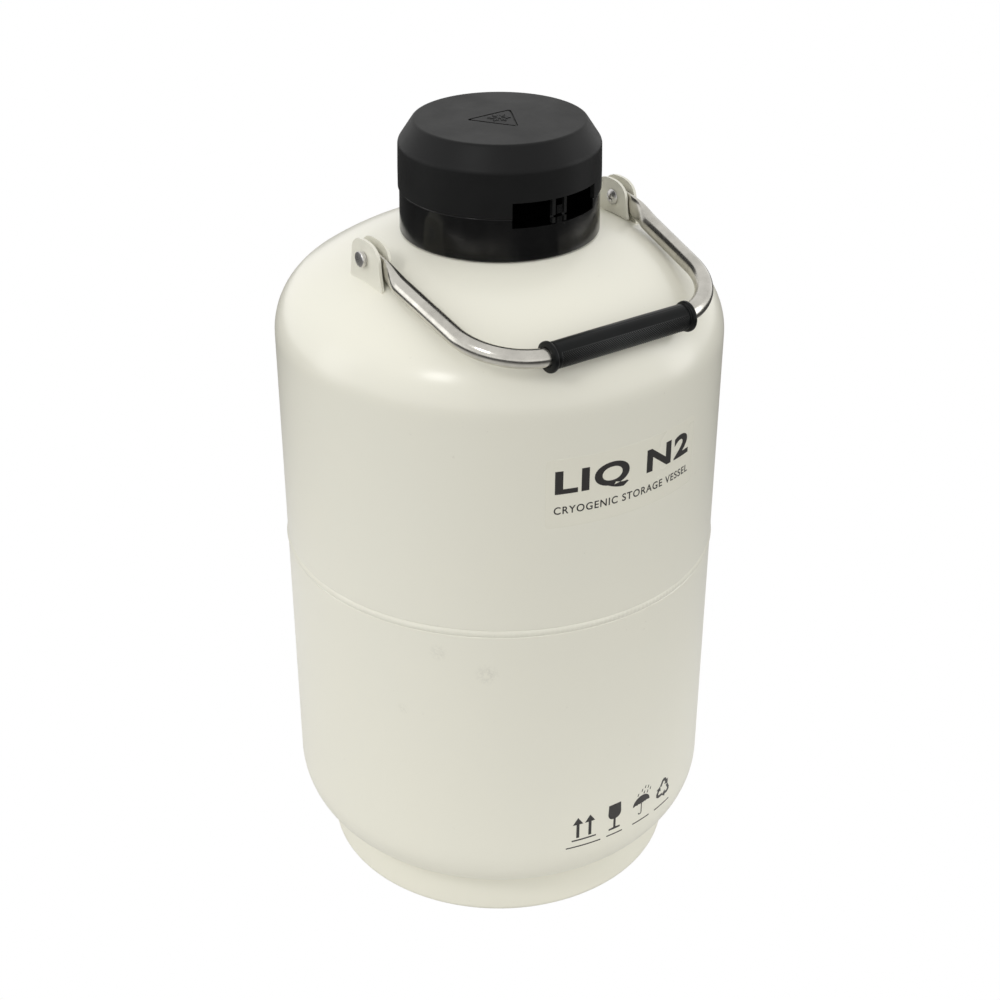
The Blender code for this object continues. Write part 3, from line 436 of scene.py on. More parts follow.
def as_object(name, bm, smooth=30.0, clean=True):
    """Mesh object in metres with outward faces."""
    if clean:
        bmesh.ops.remove_doubles(bm, verts=bm.verts, dist=1e-5)
    bmesh.ops.recalc_face_normals(bm, faces=bm.faces)
    bm.transform(Matrix.Scale(MM, 4))
    mesh = bpy.data.meshes.new(name)
    bm.to_mesh(mesh)
    bm.free()
    mesh.shade_smooth()
    mesh.set_sharp_from_angle(angle=math.radians(smooth))
    obj = bpy.data.objects.new(name, mesh)
    bpy.context.scene.collection.objects.link(obj)
    return obj


def apply_all(obj, smooth=None):
    """Evaluates the modifiers into the object's own mesh."""
    graph = bpy.context.evaluated_depsgraph_get()
    mesh = bpy.data.meshes.new_from_object(obj.evaluated_get(graph), depsgraph=graph)
    old = obj.data
    obj.modifiers.clear()
    obj.data = mesh
    mesh.name = obj.name
    bpy.data.meshes.remove(old)
    if smooth is not None:
        mesh.shade_smooth()
        mesh.set_sharp_from_angle(angle=math.radians(smooth))
    return obj


def combine(obj, *steps):
    """Booleans in order, each applied, and each other object removed."""
    for operation, other in steps:
        mod = obj.modifiers.new("cut", "BOOLEAN")
        mod.operation = operation
        mod.solver = "EXACT"
        mod.object = other
        bpy.context.view_layer.update()
        apply_all(obj)
        data = other.data
        bpy.data.objects.remove(other)
        bpy.data.meshes.remove(data)
    return obj


def edges_round(obj, width_mm, segments=2, angle=35.0, smooth=40.0):
    mod = obj.modifiers.new("edge", "BEVEL")
    mod.width = width_mm * MM
    mod.segments = segments
    mod.limit_method = "ANGLE"
    mod.angle_limit = math.radians(angle)
    mod.use_clamp_overlap = True
    mod.miter_outer = "MITER_ARC"
    bpy.context.view_layer.update()
    apply_all(obj, smooth)
    mod = obj.modifiers.new("flats", "WEIGHTED_NORMAL")     # large flats keep their own normal beside the rounded edges
    mod.mode = "FACE_AREA"
    mod.weight = 90
    mod.keep_sharp = True
    bpy.context.view_layer.update()
    return apply_all(obj)


def dress(obj, mat, body, slot, *nodes):
    """Material, body, finish slot (not used) and the CAD nodes the piece stands for."""
    obj.data.materials.clear()
    obj.data.materials.append(mat)
    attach(obj, body)
    if nodes:
        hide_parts(*nodes)
    return obj


def turned(name, loop, steps, radius=0.3, at=(0, 0, 0), axis="Z", smooth=30.0, corner_steps=3):
    bm = spin(soften(loop, radius, corner_steps), steps)
    if axis == "X":
        bm.transform(Matrix.Rotation(math.radians(90), 4, "Y"))
    bmesh.ops.translate(bm, verts=bm.verts, vec=at)
    return as_object(name, bm, smooth)


def prism_mesh(points, low, high, plane="XY"):
    bm = bmesh.new()
    place = {"XY": lambda a, b, c: (a, b, c), "YZ": lambda a, b, c: (c, a, b), "XZ": lambda a, b, c: (a, c, b)}[plane]
    face = bm.faces.new([bm.verts.new(place(a, b, low)) for a, b in points])
    top = bmesh.ops.extrude_face_region(bm, geom=[face])
    moved = [g for g in top["geom"] if isinstance(g, bmesh.types.BMVert)]
    bmesh.ops.translate(bm, verts=moved, vec=Vector(place(0, 0, high - low)))
    return bm


def prism(name, points, low, high, plane="XY"):
    return as_object(name, prism_mesh(points, low, high, plane))


def block(name, lo, hi):
    return prism(name, [(lo[0], lo[1]), (hi[0], lo[1]), (hi[0], hi[1]), (lo[0], hi[1])], lo[2], hi[2])


def sector(name, r0, r1, z0, z1, mid, half, steps):
    ring = []
    for rad, sign in ((r1, 1), (r0, -1)):
        for i in range(steps + 1):
            a = math.radians(mid + sign * (-half + 2 * half * i / steps))
            ring.append((rad * math.cos(a), rad * math.sin(a)))
    return prism(name, ring, z0, z1)


# ------------------------------------------------------------------ the vessel
KNUCKLE_C = BODY_R - UPPER_KNUCKLE_R
DROP = math.sqrt((CROWN_R - UPPER_KNUCKLE_R) ** 2 - KNUCKLE_C ** 2)
CROWN_C = UPPER_TANGENT_Z - DROP


def crown_z(r):
    if r <= CROWN_R * KNUCKLE_C / (CROWN_R - UPPER_KNUCKLE_R):
        return CROWN_C + math.sqrt(CROWN_R ** 2 - r * r)
    return UPPER_TANGENT_Z + math.sqrt(max(0.0, UPPER_KNUCKLE_R ** 2 - (r - KNUCKLE_C) ** 2))


def shoulder(inset, r_in, knuckle_steps, crown_steps):
    blend = math.degrees(math.atan2(DROP, KNUCKLE_C))
    top = math.degrees(math.acos(r_in / (CROWN_R - inset)))
    out = arc(KNUCKLE_C, UPPER_TANGENT_Z, UPPER_KNUCKLE_R - inset, 0, blend, knuckle_steps)
    return out + arc(0, CROWN_C, CROWN_R - inset, blend, top, crown_steps)[1:]


def plain_side(low, high, r, steps):
    return [(r, low + (high - low) * i / steps) for i in range(steps + 1)]


FINE = 240
loop = [(BODY_R - BODY_WALL, GIRTH_Z + 0.15), (BODY_R - 1.5, GIRTH_Z + 0.15), (BODY_R, GIRTH_Z + WELD_HALF, 1.2)]
loop += plain_side(GIRTH_Z + 9.0, UPPER_TANGENT_Z - 6.0, BODY_R, 12)
loop += shoulder(0, NECK_HOLE_R, 26, 20)
loop += list(reversed(shoulder(BODY_WALL, NECK_HOLE_R, 14, 12)))
dress(turned("upper_shell", loop, FINE, 0.25), PAINT, "vessel", "cream_paint", "outer_shell_upper")

LOWER_C, BOTTOM_Z = BODY_R - LOWER_KNUCKLE_R, LOWER_TANGENT_Z - LOWER_KNUCKLE_R
loop = [(0, BOTTOM_Z)] + arc(LOWER_C, LOWER_TANGENT_Z, LOWER_KNUCKLE_R, -90, 0, 26)
loop += plain_side(LOWER_TANGENT_Z + 6.0, GIRTH_Z - 9.0, BODY_R, 12)
loop += [(BODY_R, GIRTH_Z - WELD_HALF, 1.2), (BODY_R - 1.5, GIRTH_Z - 0.15), (BODY_R - BODY_WALL, GIRTH_Z - 0.15)]
loop += arc(LOWER_C, LOWER_TANGENT_Z, LOWER_KNUCKLE_R - BODY_WALL, 0, -90, 14) + [(0, BOTTOM_Z + BODY_WALL)]
lower = turned("lower_shell", loop, FINE, 0.25)
combine(lower, ("DIFFERENCE", turned("port_bore", [(0, 15), (7.3, 15), (7.3, 40), (0, 40)], 48, 0, (0, PORT_Y, 0))))
lower.data.shade_smooth()
lower.data.set_sharp_from_angle(angle=math.radians(30))
dress(lower, PAINT, "vessel", "cream_paint", "outer_shell_lower")


def smoothstep(t):
    t = max(0.0, min(1.0, t))
    return t * t * (3 - 2 * t)


def weld_bead(name, radius, z0, half, proud, pitch, samples, strength):
    """Circumferential bead whose crown is laid down in overlapping scales."""
    bm = bmesh.new()
    count = int(round(math.tau * radius / pitch))
    total = count * samples
    section = [(-1.0, 0.0), (-0.82, 0.22), (-0.6, 0.52), (-0.34, 0.82), (0.0, 1.0), (0.34, 0.82), (0.6, 0.52),
               (0.82, 0.22), (1.0, 0.0)]
    rings = []
    for k in range(total):
        a = math.tau * k / total
        wander = 0.35 * math.sin(3 * a + 0.6) + 0.22 * math.sin(11 * a + 2.0)
        lift = 1.0 + 0.10 * math.sin(7 * a + 1.1) + 0.08 * math.sin(17 * a)
        deep = strength(math.degrees(a))
        ring = []
        for u, h in section:
            phase = (k / samples + 0.32 * u * u) % 1.0
            ripple = (phase / 0.8) if phase < 0.8 else (1.0 - phase) / 0.2
            height = -0.55 + (proud + 0.55) * h * lift * (1.0 - deep * 0.36 * (1.0 - ripple) * (1.0 - 0.55 * abs(u)))
            z = z0 + wander * 0.4 + u * half * (0.96 + 0.05 * math.sin(23 * a))
            ring.append(bm.verts.new(((radius + height) * math.cos(a), (radius + height) * math.sin(a), z)))
        ring.append(bm.verts.new(((radius - 1.2) * math.cos(a), (radius - 1.2) * math.sin(a), z0)))
        rings.append(ring)
    n = len(section) + 1
    for k in range(total):
        here, there = rings[k], rings[(k + 1) % total]
        for j in range(n):
            i = (j + 1) % n
            bm.faces.new((here[j], here[i], there[i], there[j]))
    return as_object(name, bm, 60.0)


def girth_strength(deg):
    """The hand-finished stretch of the seam shows its scales more."""
    d = abs((deg - 305.0 + 180.0) % 360.0 - 180.0)
    return 0.30 + 0.70 * smoothstep((62.0 - d) / 40.0)


dress(weld_bead("girth_weld", BODY_R, GIRTH_Z, WELD_HALF, 0.62, 3.4, 5, girth_strength),
      PAINT, "vessel", "cream_paint", "girth_weld_bead")

foot = [(FOOT_LIP_R, 0), (FOOT_R - 3.0, 0, 3.0), (FOOT_R - 0.35, 2.6, 2.5), (FOOT_R, 4.4, 2.5), (FOOT_R - 1.4, 10.5),
        (FOOT_TOP_R + 1.2, 22.0), (FOOT_TOP_R, FOOT_TOP_Z), (FOOT_TOP_R - FOOT_WALL, FOOT_TOP_Z),
        (FOOT_R - FOOT_WALL - 0.3, 4.6, 2.0), (FOOT_R - 4.6, 3.0, 1.5), (FOOT_LIP_R, 3.0)]
dress(turned("foot_skirt", foot, FINE, 0.5, corner_steps=4), PAINT, "vessel", "cream_paint", "foot_ring")

dress(turned("port_body", [(4.0, 22.0), (11.0, 22.0), (11.0, 25.4), (7.0, 25.4), (7.0, 32.0), (4.0, 32.0)], 64,
             0.3, (0, PORT_Y, 0)), ALU, "vessel", "bare_aluminium", "vacuum_port_body")
dress(turned("port_plug", [(0, 18.4), (6.0, 18.4), (6.0, 21.7), (3.6, 21.7), (3.6, 30.0), (0, 30.0)], 64,
             0.4, (0, PORT_Y, 0)), ALU, "vessel", "bare_aluminium", "vacuum_plug")
cover = turned("port_cover", [(0, 14.6), (13.4, 14.6, 1.2), (14.0, 15.4, 1.0), (14.0, 25.2), (12.0, 25.2),
                              (12.0, 16.6), (0, 16.6)], 96, 0.35, (0, PORT_Y, 0))
dress(cover, MATTE, "vessel", "matte_black", "vacuum_port_cover")

# ------------------------------------------------------------- neck and inside
neck_r = NECK_ID / 2
dress(turned("neck_ring", [(neck_r + NECK_WALL + 0.2, 478.0), (NECK_HOLE_R - 0.2, 478.0), (NECK_HOLE_R - 0.2, 489.0),
                           (40.0, 489.0), (40.0, 493.0), (neck_r + NECK_WALL + 0.2, 493.0)], 128, 0.5),
      ALU, "vessel", "bare_aluminium", "neck_flange")
dress(turned("neck_sleeve", [(neck_r, NECK_BOTTOM_Z), (neck_r + NECK_WALL, NECK_BOTTOM_Z),
                             (neck_r + NECK_WALL, NECK_TOP_Z), (neck_r, NECK_TOP_Z)], 128, 0.6),
      GLASS, "vessel", "fibreglass", "neck_tube")
dress(turned("inner_neck_ring", [(neck_r + NECK_WALL + 0.2, 300.5), (30.3, 300.5), (30.3, INNER_TOP_Z + 0.3),
                                 (34.0, INNER_TOP_Z + 0.3), (34.0, 311.0), (31.0, 313.0), (31.0, 322.0),
                                 (neck_r + NECK_WALL + 0.2, 322.0)], 96, 0.4),
      ALU, "vessel", "bare_aluminium", "inner_neck_flange")
ik, uz, lz = INNER_R - INNER_KNUCKLE_R, INNER_TOP_Z - INNER_KNUCKLE_R, INNER_BOTTOM_Z + INNER_KNUCKLE_R
dress(turned("inner_upper", [(INNER_R - INNER_WALL, INNER_GIRTH_Z + 0.15), (INNER_R, INNER_GIRTH_Z + 0.15)]
             + arc(ik, uz, INNER_KNUCKLE_R, 0, 90, 14) + [(30.5, INNER_TOP_Z), (30.5, INNER_TOP_Z - INNER_WALL)]
             + arc(ik, uz, INNER_KNUCKLE_R - INNER_WALL, 90, 0, 14), 144, 0.2),
      ALU, "vessel", "bare_aluminium", "inner_vessel_upper")
dress(turned("inner_lower", [(0, INNER_BOTTOM_Z)] + arc(ik, lz, INNER_KNUCKLE_R, -90, 0, 14)
             + [(INNER_R, INNER_GIRTH_Z - 0.15), (INNER_R - INNER_WALL, INNER_GIRTH_Z - 0.15)]
             + arc(ik, lz, INNER_KNUCKLE_R - INNER_WALL, 0, -90, 14) + [(0, INNER_BOTTOM_Z + INNER_WALL)], 144, 0.2),
      ALU, "vessel", "bare_aluminium", "inner_vessel_lower")

blanket_loop = ([(56.0, 36.0)] + arc(93.0, 86.0, 50.0, -90, 0, 12) + arc(93.0, 282.0, 50.0, 0, 90, 12)
                + [(37.0, 332.0), (37.0, 309.5)] + arc(ik, uz, INNER_KNUCKLE_R + 1.5, 90, 0, 10)
                + arc(ik, lz, INNER_KNUCKLE_R + 1.5, 0, -90, 10) + [(56.0, INNER_BOTTOM_Z - 1.5)])
bm = spin(soften(blanket_loop, 1.5, 3), 120)
for v in bm.verts:                      # the wrap's outside is a little uneven
    r = math.hypot(v.co.x, v.co.y)
    if r > 60.0 and (r > 130.0 or v.co.z > 325.0 or v.co.z < 42.0):
        a = math.atan2(v.co.y, v.co.x)
        k = 1.0 - 0.006 * (0.5 + 0.5 * math.sin(9 * a + v.co.z * 0.09) * math.cos(5 * a - v.co.z * 0.05))
        v.co.x, v.co.y = v.co.x * k, v.co.y * k
dress(as_object("blanket_wrap", bm, 50.0), BLANKET, "vessel", "foil_blanket", "insulation_blanket")
dress(turned("sieve_tray", [(0, 38.0), (50.0, 38.0), (50.0, 54.0), (49.0, 54.0), (49.0, 39.0), (0, 39.0)], 96, 0.25),
      ALU, "vessel", "bare_aluminium", "adsorbent_tray")
dress(turned("sieve_bed", [(0, 39.4), (48.4, 39.4), (48.4, 51.0), (46.0, 53.0, 2.0), (0, 53.0)], 96, 0.4),
      SIEVE, "vessel", "molecular_sieve", "adsorbent_pack")

star = []
for k in range(6):
    a = math.radians(30 + 60 * k)
    c, s = math.cos(a), math.sin(a)
    for rad, off in ((8.0, -0.75), (58.0, -0.75), (58.0, 0.75), (8.0, 0.75)):
        star.append((rad * c - off * s, rad * s + off * c))
spider = prism("canister_stand", star, INNER_BOTTOM_Z + INNER_WALL + 0.3, 74.0)
dress(edges_round(spider, 0.25), ALU, "vessel", "bare_aluminium", "canister_spider")

ring = turned("hook_ring", [(27.3, 493.3), (36.0, 493.3), (36.0, 501.4, 0.9), (27.3, 501.4, 0.9)], 144, 0.4)
for k in range(6):
    cut = block(f"notch_{k}", (24.0, -2.1, 497.0), (39.0, 2.1, 503.0))
    cut.matrix_world = Matrix.Rotation(math.radians(60 * k), 4, "Z")
    combine(ring, ("DIFFERENCE", cut))
dress(edges_round(ring, 0.25, 2), MATTE, "vessel", "matte_black", "index_ring")

# ------------------------------------------------------------------ neck collar
collar = turned("collar", [(COLLAR_BOTTOM_R, 482.3, 0.5), (COLLAR_TOP_R + 0.12, 502.6, 20.0), (COLLAR_TOP_R, COLLAR_TOP_Z, 0.55), (SPIGOT_R, COLLAR_TOP_Z, 0.3),
                           (SPIGOT_R, SPIGOT_TOP_Z, 0.8), (59.0, SPIGOT_TOP_Z, 0.5), (59.0, 492.5, 1.0),
                           (42.5, 492.5), (42.5, 487.5), (53.5, 485.3)], FINE, 0.4, corner_steps=4)
lug_bore = turned("lug_bore", [(0, -12), (SEAL_HOLE_R, -12), (SEAL_HOLE_R, 12), (0, 12)], 32, 0, (0, -64.4, 509.5), "X")
combine(collar, ("UNION", sector("pocket_wall", 49.5, 60.0, 501.8, 516.0, LOCK_MID_DEG, LOCK_HALF_ANGLE + 2.2, 40)),
        ("DIFFERENCE", sector("collar_cut", 52.0, 72.0, LOCK_FLOOR_Z, 519.0, LOCK_MID_DEG, LOCK_HALF_ANGLE, 40)),
        ("UNION", block("lug", (-1.8, -65.2, LOCK_FLOOR_Z - 1.0), (2.6, -61.0, 516.0))), ("DIFFERENCE", lug_bore))
for k, deg in enumerate((30, 150, 270)):
    a = math.radians(deg)
    x, y = 52.0 * math.cos(a), 52.0 * math.sin(a)
    combine(collar, ("DIFFERENCE", turned(f"stud_bore_{k}", [(0, 480), (2.8, 480), (2.8, 499), (0, 499)], 32, 0, (x, y, 0))))
    dress(turned(f"stud_{k + 1}", [(0, crown_z(49.0) + 0.3), (2.5, crown_z(49.0) + 0.3), (2.5, 497.5, 0.6), (0, 497.5)],
                 48, 0.2, (x, y, 0)), ALU, "vessel", "bare_aluminium", f"collar_stud_{k + 1}")
    hexagon = as_object(f"nut_{k + 1}", spin([(3.1, 492.8), (5.0, 492.8), (5.0, 496.2), (3.1, 496.2)], 6))
    cone = turned("nut_round", [(0, 492.0), (4.55, 492.0), (5.2, 493.1), (5.2, 495.9), (4.55, 496.9), (0, 496.9)], 48, 0)
    bore = turned("nut_bore", [(0, 490.0), (3.12, 490.0), (3.12, 499.0), (0, 499.0)], 32, 0)
    combine(hexagon, ("INTERSECT", cone), ("DIFFERENCE", bore))
    hexagon.data.transform(Matrix.Translation((x * MM, y * MM, 0)))
    dress(edges_round(hexagon, 0.12, 2), PIN_STEEL, "vessel", "polished_steel", f"collar_nut_{k + 1}")
dress(edges_round(collar, 0.3, 3, 40.0, 40.0), GLOSS, "vessel", "gloss_black", "neck_collar")

# --------------------------------------------------------------------- the lid
lid = turned("lid", [(LID_R - LID_WALL, LID_BOTTOM_Z, 0.4), (LID_R, LID_BOTTOM_Z, 0.5), (LID_R - 0.1, 524.0, 30.0), (LID_R - 0.35, 534.0, 30.0),
                     (LID_R - 0.5, 540.6, 6.0), (56.1, LID_TOP_Z - 0.4, 2.8), (52.5, LID_TOP_Z - 0.4), (0, LID_TOP_Z - 0.4), (0, 552.2),
                     (52.4, 552.2, 2.0), (54.0, 551.0, 2.0), (60.3, 541.9, 2.0), (LID_R - LID_WALL, 537.0, 2.0)],
             FINE, 0.4, corner_steps=6)
combine(lid, ("DIFFERENCE", sector("lid_cut", LID_R - 8.0, 72.0, LID_BOTTOM_Z - 2.0, LOCK_TOP_Z, LOCK_MID_DEG, LOCK_HALF_ANGLE, 40)),
        ("UNION", block("tab_a", (-5.6, -65.7, 505.2), (-3.1, -63.2, 521.8))),
        ("UNION", block("tab_b", (3.4, -65.7, 505.2), (5.4, -63.2, 521.8))),
        ("DIFFERENCE", turned("tab_bore", [(0, -12), (SEAL_HOLE_R, -12), (SEAL_HOLE_R, 12), (0, 12)], 32, 0,
                              (0, -64.6, 509.5), "X")))


def triangle(side):
    rad = side / math.sqrt(3)
    return [(rad * math.cos(math.radians(a + 3.1)) - 2.4, rad * math.sin(math.radians(a + 3.1)) - 1.7) for a in (30, 150, 270)]


def rounded_polygon(points, radius, steps=5):
    return soften([(p[0] + 1000.0, p[1]) for p in points], radius, steps, 1.0)


def recentre(points):
    return [(x - 1000.0, y) for x, y in points]


groove = prism("mark_groove", recentre(rounded_polygon(triangle(MARK_SIDE + 3.4), 1.6)), LID_TOP_Z - 1.15, LID_TOP_Z + 1.0)
combine(groove, ("DIFFERENCE", prism("mark_island", recentre(rounded_polygon(triangle(MARK_SIDE - 1.6), 0.9)),
                                     LID_TOP_Z - 2.0, LID_TOP_Z + 2.0)))
combine(lid, ("DIFFERENCE", groove))


def frost_star(radius, arm, barb):
    """Six plain arms, each with one pair of short barbs: one closed outline."""
    out = []
    for k in range(6):
        a = math.radians(60 * k + 90)
        c, s = math.cos(a), math.sin(a)
        h = arm / 2
        b0, b1 = radius * 0.60, radius * 0.60 + barb
        side = [(h * 1.7320508, -h), (b0 - arm, -h), (b0 + barb * 0.5 - arm, -h - barb * 0.75), (b0 + barb * 0.5 + 0.25, -h - barb * 0.55),
                (b0 + arm * 0.55, -h), (radius, -h)]
        for u, w in side + [(u, -w) for u, w in reversed(side)][0:-1]:
            out.append((u * c - w * s, u * s + w * c))
    return out


frost = prism("frost_mark", [(x - 1.1, y - 0.8) for x, y in frost_star(7.6, 1.05, 1.9)], LID_TOP_Z - 0.7, LID_TOP_Z - 0.05)
combine(lid, ("UNION", frost))
dress(edges_round(lid, 0.22, 2, 40.0, 32.0), MATTE, "lid", "matte_black", "lid_shell")

dress(turned("plug_plate", [(0, 548.7), (30.0, 548.7), (30.0, 551.9), (0, 551.9)], 96, 0.6), MATTE, "lid", "matte_black",
      "plug_flange")
plug = [(0, PLUG_BOTTOM_Z), (PLUG_R - 0.4, PLUG_BOTTOM_Z, 2.2)]
for k in range(6):                       # shallow rings moulded round the plug let the gas out
    z = 418.0 + 20.0 * k
    plug += [(PLUG_R, z, 0.4), (PLUG_R - 0.6, z + 0.8, 0.4), (PLUG_R - 0.6, z + 2.6, 0.4), (PLUG_R, z + 3.4, 0.4)]
plug += [(PLUG_R, 548.4, 0.6), (0, 548.4)]
dress(turned("foam_plug", plug, 120, 0.5), FOAM, "lid", "white_foam", "neck_plug")


# ---------------------------------------------------------- brackets and pivots
def signed_power(value, power):
    return math.copysign(abs(value) ** power, value) if abs(value) > 1e-9 else 0.0


def ear_outline(x_mid, middle, sink, corner):
    """Outline of one ear in (y, z): broad low head, splayed foot, underside along the shoulder."""
    out = [(middle + EAR_HALF * signed_power(math.cos(math.radians(a)), 0.8),
            PIVOT_Z + EAR_RISE * signed_power(math.sin(math.radians(a)), 0.85)) for a in range(0, 181, 4)]
    out.append((middle - 17.6, 475.0, 9.0))
    for i in range(13):
        y = middle - EAR_FOOT_HALF + 2 * EAR_FOOT_HALF * i / 12
        out.append((y, crown_z(math.hypot(x_mid, y)) + sink, corner if i in (0, 12) else 0.0))
    out.append((middle + 17.6, 475.0, 9.0))
    return [(y + 1000.0, *rest) for y, *rest in out]


def bracket(side, sign):
    """Two ears and the web that joins them, welded to the shoulder and painted over."""
    middle = EAR_SHIFT[side]
    inner = recentre(soften(ear_outline(EAR_IN + 1.0, middle, 0.75, 1.2), 0.0, 5, 1.0))
    outer = recentre(soften(ear_outline(EAR_OUT - 1.0, middle, -0.5, 3.2), 0.0, 5, 1.0))
    body = as_object(f"clevis_{side}", prism_mesh(inner, *sorted((sign * EAR_IN, sign * (EAR_IN + EAR_T))), "YZ"))
    out_ear = as_object("out_ear", prism_mesh(outer, *sorted((sign * (EAR_OUT - EAR_T), sign * EAR_OUT)), "YZ"))
    z_in, z_out = crown_z(EAR_IN) + 0.9, crown_z(EAR_OUT) + 0.2
    slope = (z_out - z_in) / (EAR_OUT - EAR_IN)
    x0, x1, t = EAR_IN + 0.4, EAR_OUT - 0.4, 2.0
    lift = lambda x: z_in + slope * (x - EAR_IN)
    web = [(sign * x0, lift(x0)), (sign * x1, lift(x1)), (sign * x1, lift(x1) + t + 1.6), (sign * (x1 - 1.8), lift(x1 - 1.8) + t + 0.5),
           (sign * (x1 - 3.2), lift(x1 - 3.2) + t), (sign * (x0 + 3.2), lift(x0 + 3.2) + t),
           (sign * (x0 + 1.8), lift(x0 + 1.8) + t + 0.5), (sign * x0, lift(x0) + t + 1.6)]
    combine(body, ("UNION", out_ear), ("UNION", as_object("web", prism_mesh(web, middle - 10.0, middle + 10.0, "XZ"))),
            ("DIFFERENCE", turned("ear_bore", [(0, -20), (PIN_HOLE_R, -20), (PIN_HOLE_R, 20), (0, 20)], 48, 0,
                                  (sign * PIVOT_X, 0, PIVOT_Z), "X")))
    edges_round(body, 0.55, 3, 50.0, 40.0)
    return dress(body, PAINT, "vessel", "cream_paint", f"bracket_{side}")


def along(loop, sign):
    return [(p[0], sign * p[1], *p[2:]) for p in loop]


def cross_cutter(sign, x_face, depth):
    """Tapered four-arm recess."""
    bm = bmesh.new()
    rings = []
    for x, reach, half in ((x_face - 1.0, 3.5, 0.78), (x_face + depth, 1.7, 0.45)):
        pts = []
        for k in range(4):
            a = math.radians(90 * k + 18)
            c, s = math.cos(a), math.sin(a)
            for u, w in ((reach, -half), (reach, half), (half, half)):
                pts.append((u * c - w * s, u * s + w * c))
        rings.append([bm.verts.new((sign * x, y, PIVOT_Z + z)) for y, z in pts])
    n = len(rings[0])
    for j in range(n):
        bm.faces.new((rings[0][j], rings[0][(j + 1) % n], rings[1][(j + 1) % n], rings[1][j]))
    bm.faces.new(rings[0])
    bm.faces.new(list(reversed(rings[1])))
    return as_object("recess", bm)


for side, sign in (("left", -1), ("right", 1)):
    bracket(side, sign)
    at = (0, 0, PIVOT_Z)
    dress(turned(f"pin_{side}", along([(1.7, 94.8), (PIN_R, 94.8), (PIN_R, 105.5, 0.4), (5.2, 105.5, 0.35), (5.2, 107.6, 0.55),
                                       (0, 107.6), (0, 102.5), (1.7, 102.5)], sign), 64, 0.2, at, "X"),
          PIN_STEEL, "vessel", "polished_steel", f"pivot_post_{side}")
    screw = turned(f"screw_{side}", along([(0, 91.5), (2.4, 91.6, 2.0), (4.3, 92.35, 2.0), (5.45, 93.5, 0.8), (5.5, 93.9, 0.15),
                                           (1.4, 93.9), (1.4, 101.5), (0, 101.5)], sign), 64, 0.2, at, "X")
    combine(screw, ("DIFFERENCE", cross_cutter(sign, 91.6, 1.6)))
    dress(edges_round(screw, 0.12, 2, 35.0, 35.0), PIN_STEEL, "vessel", "polished_steel", f"pivot_screw_{side}")
    dress(turned(f"washer_{side}", along([(3.3, 104.2), (4.7, 104.2), (4.7, 105.2), (3.3, 105.2)], sign), 64, 0.2, at, "X"),
          PIN_STEEL, "vessel", "polished_steel", f"pivot_washer_{side}")


# ------------------------------------------------------------------- the bail
def bend_of(corner, radius, first, last):
    """Start and centre of the fillet of an arm's line and the crossbar's, between two tangent angles."""
    reach = radius * math.tan((last - first) / 2)
    x, v = corner - reach * math.sin(first), BAIL_L - reach * math.cos(first)
    return x, x + radius * math.cos(first), v - radius * math.sin(first)


def bail_stations():
    def arm(sign, base, corner, lean, bend_v):
        def line(v):
            return base + (corner - base) * v / BAIL_L
        rows = []
        for k in range(15):
            v = -FLAT_B * math.cos(math.pi / 2 * k / 14)
            rows.append((sign * PIVOT_X, v, 0.0, FLAT_A * (0.55 + 0.45 * min(1.0, k / 3)), max(0.9, math.sqrt(FLAT_B ** 2 - v * v))))
        for v in (4.0, 8.0, 12.0, 16.0):
            rows.append((sign * PIVOT_X, v, 0.0, FLAT_A, FLAT_B))
        for i in range(0, 19):
            s = smoothstep(i / 18)
            v = FLAT_END + (ROUND_START - FLAT_END) * i / 18
            rows.append((sign * PIVOT_X + (line(v) - sign * PIVOT_X) * s, v, lean * s,
                         FLAT_A + (BAIL_R - FLAT_A) * s, FLAT_B + (BAIL_R - FLAT_B) * s))
        for i in range(1, 8):
            v = ROUND_START + (bend_v - ROUND_START) * i / 8
            rows.append((line(v), v, lean, BAIL_R, BAIL_R))
        return rows

    def bend(corner, radius, first, last):
        _, cx, cv = bend_of(corner, radius, first, last)
        return [(cx - radius * math.cos(a), cv + radius * math.sin(a), a, BAIL_R, BAIL_R)
                for a in [first + (last - first) * i / 24 for i in range(25)]]

    x0, corner, radius = BAIL_LEFT
    lean = math.atan2(corner - x0, BAIL_L)
    turn_left = bend(corner, radius, lean, math.pi / 2)
    stations = arm(-1, x0, corner, lean, turn_left[0][1]) + turn_left
    x0, corner, radius = BAIL_RIGHT
    lean = math.atan2(x0 - corner, BAIL_L)
    turn_right = bend(corner, radius, math.pi / 2, math.pi - lean)
    stations += turn_right
    return stations + [(x, v, math.pi - a, p, q) for x, v, a, p, q in reversed(arm(1, x0, corner, lean, turn_right[-1][1]))]


def tube_drop(x):
    """How far the tube's axis has left the crossbar's line at x, towards the pivots."""
    corner, radius = BAIL_LEFT[1:]
    starts = corner + radius * math.tan((math.pi / 2 - math.atan2(corner - BAIL_LEFT[0], BAIL_L)) / 2)
    past = starts - x
    if past <= 0:
        corner, radius = BAIL_RIGHT[1:]
        starts = corner - radius * math.tan((math.pi / 2 - math.atan2(BAIL_RIGHT[0] - corner, BAIL_L)) / 2)
        past = max(0.0, x - starts)
    return radius - math.sqrt(radius ** 2 - past ** 2)


